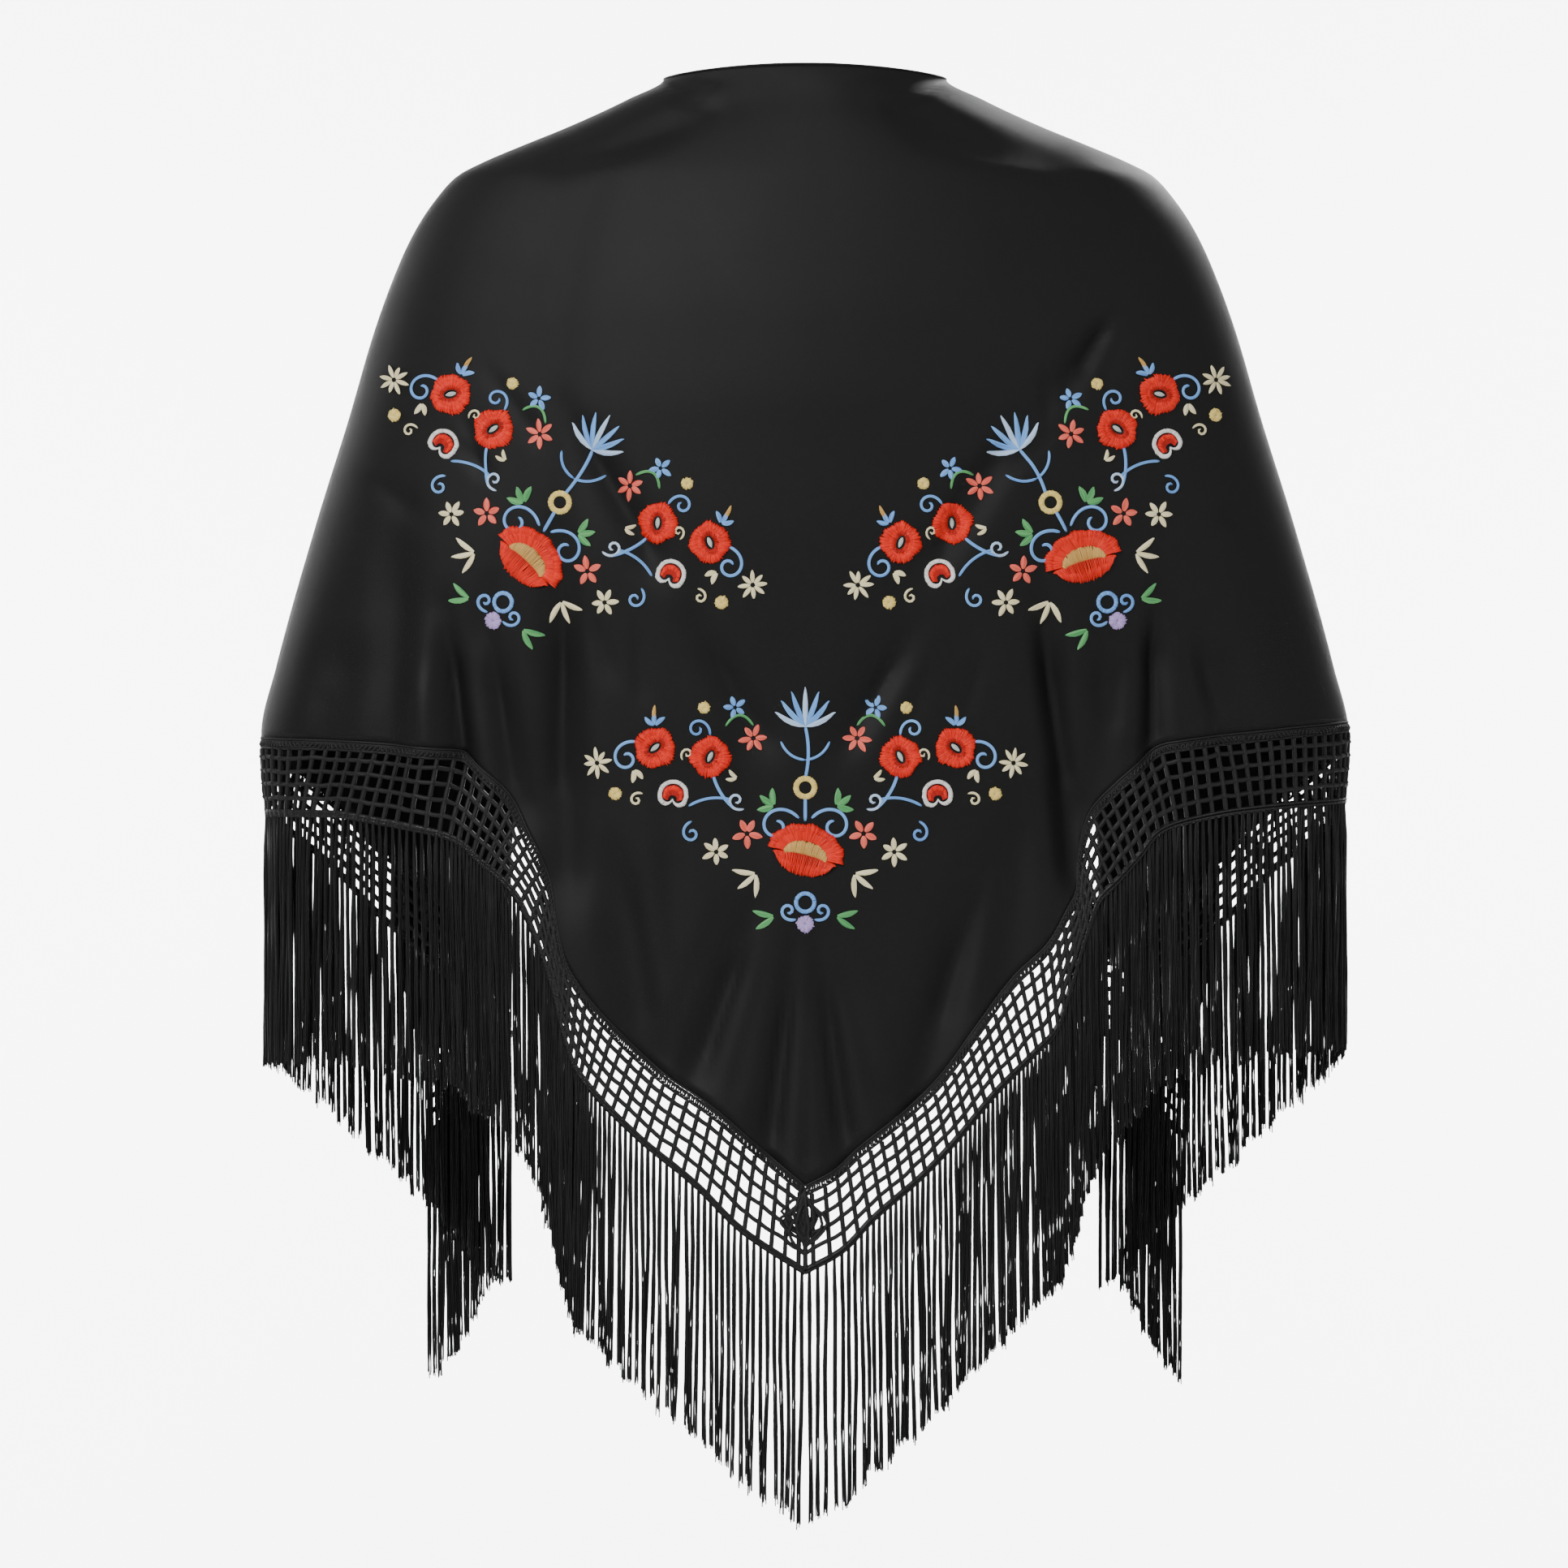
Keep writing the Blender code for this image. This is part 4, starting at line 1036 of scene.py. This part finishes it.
class Needlework:
    """Threads of each colour, gathered until they are sewn on."""

    def __init__(self):
        self.threads = {}

    def thread(self, colour_name, places, height, thickness):
        self.threads.setdefault(colour_name, []).append((places, height, thickness))

    def stem(self, colour_name, width, places):
        """Rows of stem stitch side by side."""
        span = np.sum(np.linalg.norm(np.diff(np.asarray(places, float), axis=0), axis=1))
        count = max(5, int(span / STEM_STITCH))
        line = smooth_path(places, count)
        run = np.gradient(line, axis=0)
        run /= np.linalg.norm(run, axis=1, keepdims=True)
        across = np.stack([-run[:, 1], run[:, 0]], axis=1)
        rows = max(2, int(round(width / (1.55 * THREAD))))
        end = ease(np.minimum(np.arange(count), np.arange(count)[::-1]) / 2.0 + 0.25)
        for row in range(rows):
            place = (row + 0.5) / rows * 2 - 1
            offset = place * (width / 2 - THREAD * 0.6)
            height = 0.25 + 0.55 * (1 - place * place) * end
            self.thread(colour_name, line + across * offset * (0.5 + 0.5 * end)[:, None], height, end)

    def petal(self, colour_name, root, tip, width, bow=0.0, height=0.9):
        """Long stitches side by side from root to tip."""
        root, tip = np.asarray(root, float), np.asarray(tip, float)
        run = tip - root
        across = np.array([-run[1], run[0]]) / np.linalg.norm(run)
        rows = max(3, int(round(width / STITCH_PITCH)))
        t = np.array([0.0, 0.18, 0.4, 0.65, 0.87, 1.0])
        swell = np.sin(math.pi * np.clip(t, 0.03, 0.97)) ** 0.6
        for row in range(rows):
            place = (row + 0.5) / rows * 2 - 1
            reach = 1.0 - 0.07 * abs(place) - RNG.uniform(0.0, 0.03)
            offset = place * width / 2 * 0.85 * swell + bow * 4 * t * (1 - t)
            line = root + run * (t * reach)[:, None] + across * offset[:, None]
            rise = np.sin(math.pi * np.clip(t, 0.05, 0.95)) ** 0.5
            lift = 0.15 + height * (1 - 0.7 * place * place) * rise
            self.thread(colour_name, line, lift, np.array([0.7, 1.0, 1.05, 1.05, 1.0, 0.7]))

    def satin(self, colour_name, inner, outer, height, ragged=0.04, pitch=STITCH_PITCH):
        """Stitches from one line to another."""
        span = max(np.sum(np.linalg.norm(np.diff(line, axis=0), axis=1)) for line in (inner, outer))
        count = int(span / pitch)
        at = np.linspace(0.0, 1.0, count)
        ends = []
        for line in (inner, outer):
            own = np.linspace(0.0, 1.0, len(line))
            ends.append(np.stack([np.interp(at, own, line[:, k]) for k in (0, 1)], axis=1))
        t = np.array([0.0, 0.12, 0.45, 0.8, 1.0])
        for first, last in zip(*ends):
            reach = (last - first) * (1 + RNG.normal(0.0, ragged))
            shift = RNG.normal(0.0, 0.13, 2)
            line = first + reach * t[:, None] + shift * np.sin(math.pi * t)[:, None]
            rise = np.array([0.2, 0.8, 1.0, 0.85, 0.1]) * height * RNG.uniform(0.85, 1.12)
            self.thread(colour_name, line, 0.1 + rise, np.array([0.8, 1.0, 1.1, 1.1, 0.8]))

    def poppy(self, centre, radius, turn):
        around = np.linspace(0.0, 2 * math.pi, 61)
        lobes = 1 + 0.045 * np.sin(4 * around + radius) + 0.03 * np.sin(7 * around + turn)
        rim = np.stack([np.cos(around), np.sin(around)], axis=1) * lobes[:, None]
        eye = np.stack([0.34 * np.cos(around), 0.2 * np.sin(around)], axis=1)
        throat = np.stack([0.62 * np.cos(around), 0.56 * np.sin(around)], axis=1)
        turned_eye = turned(eye, centre, radius, turn)
        self.satin("red", turned_eye, turned(rim * 0.96, centre, radius, turn), 1.3, 0.05)
        self.satin("red", turned(throat, centre, radius, turn),
                   turned(rim, centre, radius, turn), 1.7, 0.07)
        self.satin("deep_red", turned(eye * 1.1, centre, radius, turn),
                   turned(eye * (1.9, 2.2), centre, radius, turn), 1.75, 0.12, 1.3)
        eye_ends = turned(((-0.27, 0.0), (0.27, 0.0)), centre, radius, turn)
        self.petal("grey", *eye_ends, radius * 0.26, 0.0, 1.0)
        self.thread("dark", turned(eye * 0.98, centre, radius, turn), np.full(61, 1.1), np.full(61, 0.8))

    def heart(self, centre, size, turn):
        edge = turned(smooth_path(HEART_EDGE, 56), centre, size, turn)
        inside = turned(smooth_path(HEART_EDGE, 56) * 0.74, centre, size, turn)
        self.satin("white", inside, edge, 0.8, 0.03)
        self.satin("deep_red", turned(smooth_path(HEART_CORE_LOW, 30), centre, size, turn),
                   turned(smooth_path(HEART_CORE_TOP, 30), centre, size, turn), 0.9, 0.04)
        core_middle = (smooth_path(HEART_CORE_LOW, 30) + smooth_path(HEART_CORE_TOP, 30)) / 2
        self.satin("red", turned(core_middle * 0.92, centre, size, turn),
                   turned(smooth_path(HEART_CORE_TOP, 30) * 0.95, centre, size, turn), 1.3, 0.05)

    def half_open_poppy(self, size, turn):
        """A poppy from the side: a ruffled upper petal over a shallow lower one."""
        around = math.pi * (1 + np.linspace(0.0, 1.0, 50))
        cosine, sine = np.cos(around), np.sin(around)
        ruffle = 1 + 0.025 * np.sin(11 * around)

        def line(across, down, level=0.0):
            return turned(np.stack([across * cosine, down * sine + level], axis=1), (0.0, 0.0), size, turn)
        self.satin("red", line(0.56, 0.36), line(ruffle, 0.78 * ruffle), 1.4, 0.03)
        self.satin("red", line(0.8, 0.58), line(ruffle * 1.01, 0.8 * ruffle), 1.9, 0.05)
        self.satin("ochre", line(0.5, 0.08, 0.08), line(0.58, 0.38), 1.2, 0.08, 0.6)
        self.satin("red", line(0.84, 0.12, 0.1), line(0.72, -0.42, 0.1), 1.5, 0.04)
        self.satin("red", line(0.78, -0.14, 0.1), line(0.74, -0.44, 0.1), 1.8, 0.06)

    def daisy(self, colour_name, centre, radius, petals, turn):
        for petal in range(petals):
            angle = turn + 360.0 * petal / petals + RNG.normal(0.0, 4.0)
            length = radius * RNG.uniform(0.88, 1.06)
            ends = turned(((radius * 0.16, 0.0), (length, 0.0)), centre, 1.0, angle)
            width = min(radius * 0.5, 2.6 * radius / petals)
            self.petal(colour_name, ends[0], ends[1], width, 0.0, 0.8)

    def ring(self, colour_name, centre, radius, width):
        around = np.linspace(0.0, 2 * math.pi, 41)
        circle = np.stack([np.cos(around), np.sin(around)], axis=1)
        half = width / 2
        self.satin(colour_name, turned(circle, centre, radius - half, 0.0),
                   turned(circle, centre, radius + half, 0.0), 0.8, 0.03, 0.62)

    def dot(self, colour_name, centre, radius):
        around = np.linspace(0.0, 2 * math.pi, 31)
        circle = np.stack([np.cos(around), np.sin(around)], axis=1)
        self.satin(colour_name, turned(circle, centre, radius * 0.08, 0.0),
                   turned(circle, centre, radius, 0.0), 0.9, 0.06)

    def curl(self, colour_name, width, start, heading, reach, hand):
        """A stem that winds up more and more tightly."""
        share = np.linspace(0.0, 1.0, 16)
        angle = math.radians(heading) + hand * math.radians(400.0) * share ** 1.35
        step = reach * 0.2 * (1 - 0.55 * share)
        run = np.stack([np.cos(angle), np.sin(angle)], axis=1) * step[:, None]
        self.stem(colour_name, width, np.cumsum(run, axis=0) - run[0] + start)

    def bow(self, colour_name, width, start, end, bend):
        """A stem from place to place, bowed sideways in the middle."""
        start, end = np.array(start), np.array(end)
        run = end - start
        across = np.array([-run[1], run[0]]) / np.linalg.norm(run)
        share = np.linspace(0.0, 1.0, 7)[:, None]
        self.stem(colour_name, width, start + run * share + across * (4 * bend * share * (1 - share)))

    def sprig(self, colour_name, place, direction, count, length, width):
        """Leaves that spread from one place."""
        for leaf in range(count):
            angle = direction + (leaf - (count - 1) / 2) * 48.0
            ends = turned(((1.0, 0.0), (length, 0.0)), place, 1.0, angle)
            self.petal(colour_name, ends[0], ends[1], width, 0.6)

    def fan(self):
        """Long leaves that arch out from the top of the stem."""
        for leaf in range(FAN_LEAVES):
            lean = leaf / (FAN_LEAVES - 1) * 2 - 1
            longest, less = FAN_LENGTHS
            ends = turned(((0.0, 0.0), (longest - less * abs(lean), 0.0)), FAN_PLACE, 1.0,
                          -90.0 + lean * FAN_SPREAD / 2)
            self.petal("blue" if leaf % 3 else "pale_blue", ends[0], ends[1], 4.0, 1.6 * lean)

    def spray(self, place, turn):
        """One whole spray: its middle, and the motifs of one half on both sides."""
        begun = {name: len(threads) for name, threads in self.threads.items()}
        for hand in (1, -1):
            side_start = {name: len(threads) for name, threads in self.threads.items()}
            for kind, rows in ((self.curl, CURLS), (self.bow, BOWS), (self.sprig, SPRIGS),
                               (self.daisy, DAISIES), (self.dot, DOTS), (self.heart, HEARTS),
                               (self.poppy, POPPIES)):
                for row in rows:
                    kind(*row)
            self.move(side_start, lambda points, hand=hand: points * (hand, 1.0))
        self.fan()
        for row in MIDDLE_STEMS:
            self.bow(*row)
        for row in MIDDLE_RINGS:
            self.ring(*row)
        self.dot(*MIDDLE_DOT)
        self.half_open_poppy(HALF_OPEN_POPPY, 14.0)
        self.move(begun, lambda points: turned(points, place, 1.0, turn))

    def move(self, begun, change):
        """Moves every thread sewn since a count of the threads of each colour."""
        for name, threads in self.threads.items():
            for index in range(begun.get(name, 0), len(threads)):
                places, height, thickness = threads[index]
                threads[index] = (change(np.asarray(places)), height, thickness)

    def sew(self, finishes):
        pieces = []
        for name, threads in self.threads.items():
            places = np.concatenate([thread[0] for thread in threads])
            height = np.concatenate([np.broadcast_to(thread[1], len(thread[0])) for thread in threads])
            points = on_cloth(places, height)
            ends = np.cumsum([len(thread[0]) for thread in threads])
            paths = [(part, np.asarray(thread[2]))
                     for part, thread in zip(np.split(points, ends[:-1]), threads)]
            item = add_cords("embroidery_" + name, paths, THREAD, 4, finishes[name])
            pieces.append(ride(item))
        return pieces


def embroider(finishes):
    """The three sprays, one piece for each colour of silk."""
    work = Needlework()
    for place, turn in SPRAYS:
        work.spray(place, turn)
    return work.sew(finishes)


# Stage, camera and light

def make_stage(material):
    """A pale floor that rises behind in one sweep."""
    floor, reach, height, bend = -2.4, 15.0, 9.0, 2.0
    profile = [(-14.0, 0.0)]
    for i in range(13):
        turn = math.pi / 2 * i / 12
        profile.append((reach - bend + bend * math.sin(turn), bend - bend * math.cos(turn)))
    profile.append((reach, height))
    points = [(x, y, floor + z) for y, z in profile for x in (-16.0, 16.0)]
    faces = [(2 * i, 2 * i + 1, 2 * i + 3, 2 * i + 2) for i in range(len(profile) - 1)]
    item = add_mesh("floor", points, faces, material)


def make_camera():
    """A long lens, level with the middle of the shawl."""
    unit = VIEW_WIDTH / VIEW_UNITS
    neck_across, neck_down = VIEW_NECK
    middle = VIEW_UNITS / 2
    away, plane = 8.0, -0.05
    data = bpy.data.cameras.new("camera")
    data.sensor_width = 36.0
    data.lens = data.sensor_width * (away + plane) / VIEW_WIDTH
    camera = bpy.data.objects.new("camera", data)
    camera.location = ((middle - neck_across) * unit, -away, (neck_down - middle) * unit)
    camera.rotation_euler = (math.pi / 2, 0.0, 0.0)
    bpy.context.scene.collection.objects.link(camera)
    bpy.context.scene.camera = camera


def add_light(name, place, target, size, power):
    data = bpy.data.lights.new(name, "AREA")
    data.shape = "DISK"
    data.size = size
    data.energy = power
    light = bpy.data.objects.new(name, data)
    light.location = place
    light.rotation_euler = (Vector(target) - Vector(place)).to_track_quat("-Z", "Y").to_euler()
    bpy.context.scene.collection.objects.link(light)


# Name, place, what it is turned to, width and power in watts; the last two light the wall behind
MIDDLE = (0.0, 0.0, -0.4)
LIGHTS = (
    ("key", (-2.0, -3.2, 2.0), MIDDLE, 1.0, 150.0),
    ("right_fill", (2.8, -2.6, 0.6), MIDDLE, 1.6, 22.0),
    ("front_key", (1.8, 3.2, 1.9), MIDDLE, 1.2, 110.0),
    ("front_fill", (-2.8, 2.4, 0.4), MIDDLE, 1.6, 22.0),
    ("wall_left", (-4.0, 10.0, 0.6), (-1.0, 15.0, -0.6), 3.0, 1700.0),
    ("wall_right", (4.0, 10.0, 0.6), (1.0, 15.0, -0.6), 3.0, 1700.0),
)
SKY_STRENGTH = 0.45


def make_light():
    """Soft lights, and an even white sky."""
    for row in LIGHTS:
        add_light(*row)
    world = bpy.data.worlds.new("studio")
    world.use_nodes = True
    world.node_tree.nodes["Background"].inputs["Color"].default_value = (1.0, 1.0, 1.0, 1.0)
    world.node_tree.nodes["Background"].inputs["Strength"].default_value = SKY_STRENGTH
    bpy.context.scene.world = world


cloth_finish = cloth_paint()
braid_finish = cord_paint("black_braid", (0.003, 0.003, 0.0035), (0.010, 0.010, 0.011), 0.62, 700.0)
net_finish = cord_paint("black_net", (0.003, 0.003, 0.0035), (0.009, 0.009, 0.010), 0.62, 900.0)
fringe_finish = cord_paint("black_fringe", (0.003, 0.003, 0.0032), (0.011, 0.011, 0.011), 0.4, 260.0)

cloth = make_cloth(cloth_finish)
rolled_edge = make_rolled_edge(cloth_finish)
make_point_knot(net_finish)
for side_name in HEMS:
    make_braid(side_name, braid_finish)
    make_net(side_name, net_finish)
    make_fringe(side_name, "back", 0, 1, fringe_finish)
    make_fringe(side_name, "front", 1, 4, fringe_finish)
embroidery = embroider({name: silk_paint(name, *tones) for name, tones in SILKS.items()})

make_stage(stage_paint())
make_camera()
make_light()
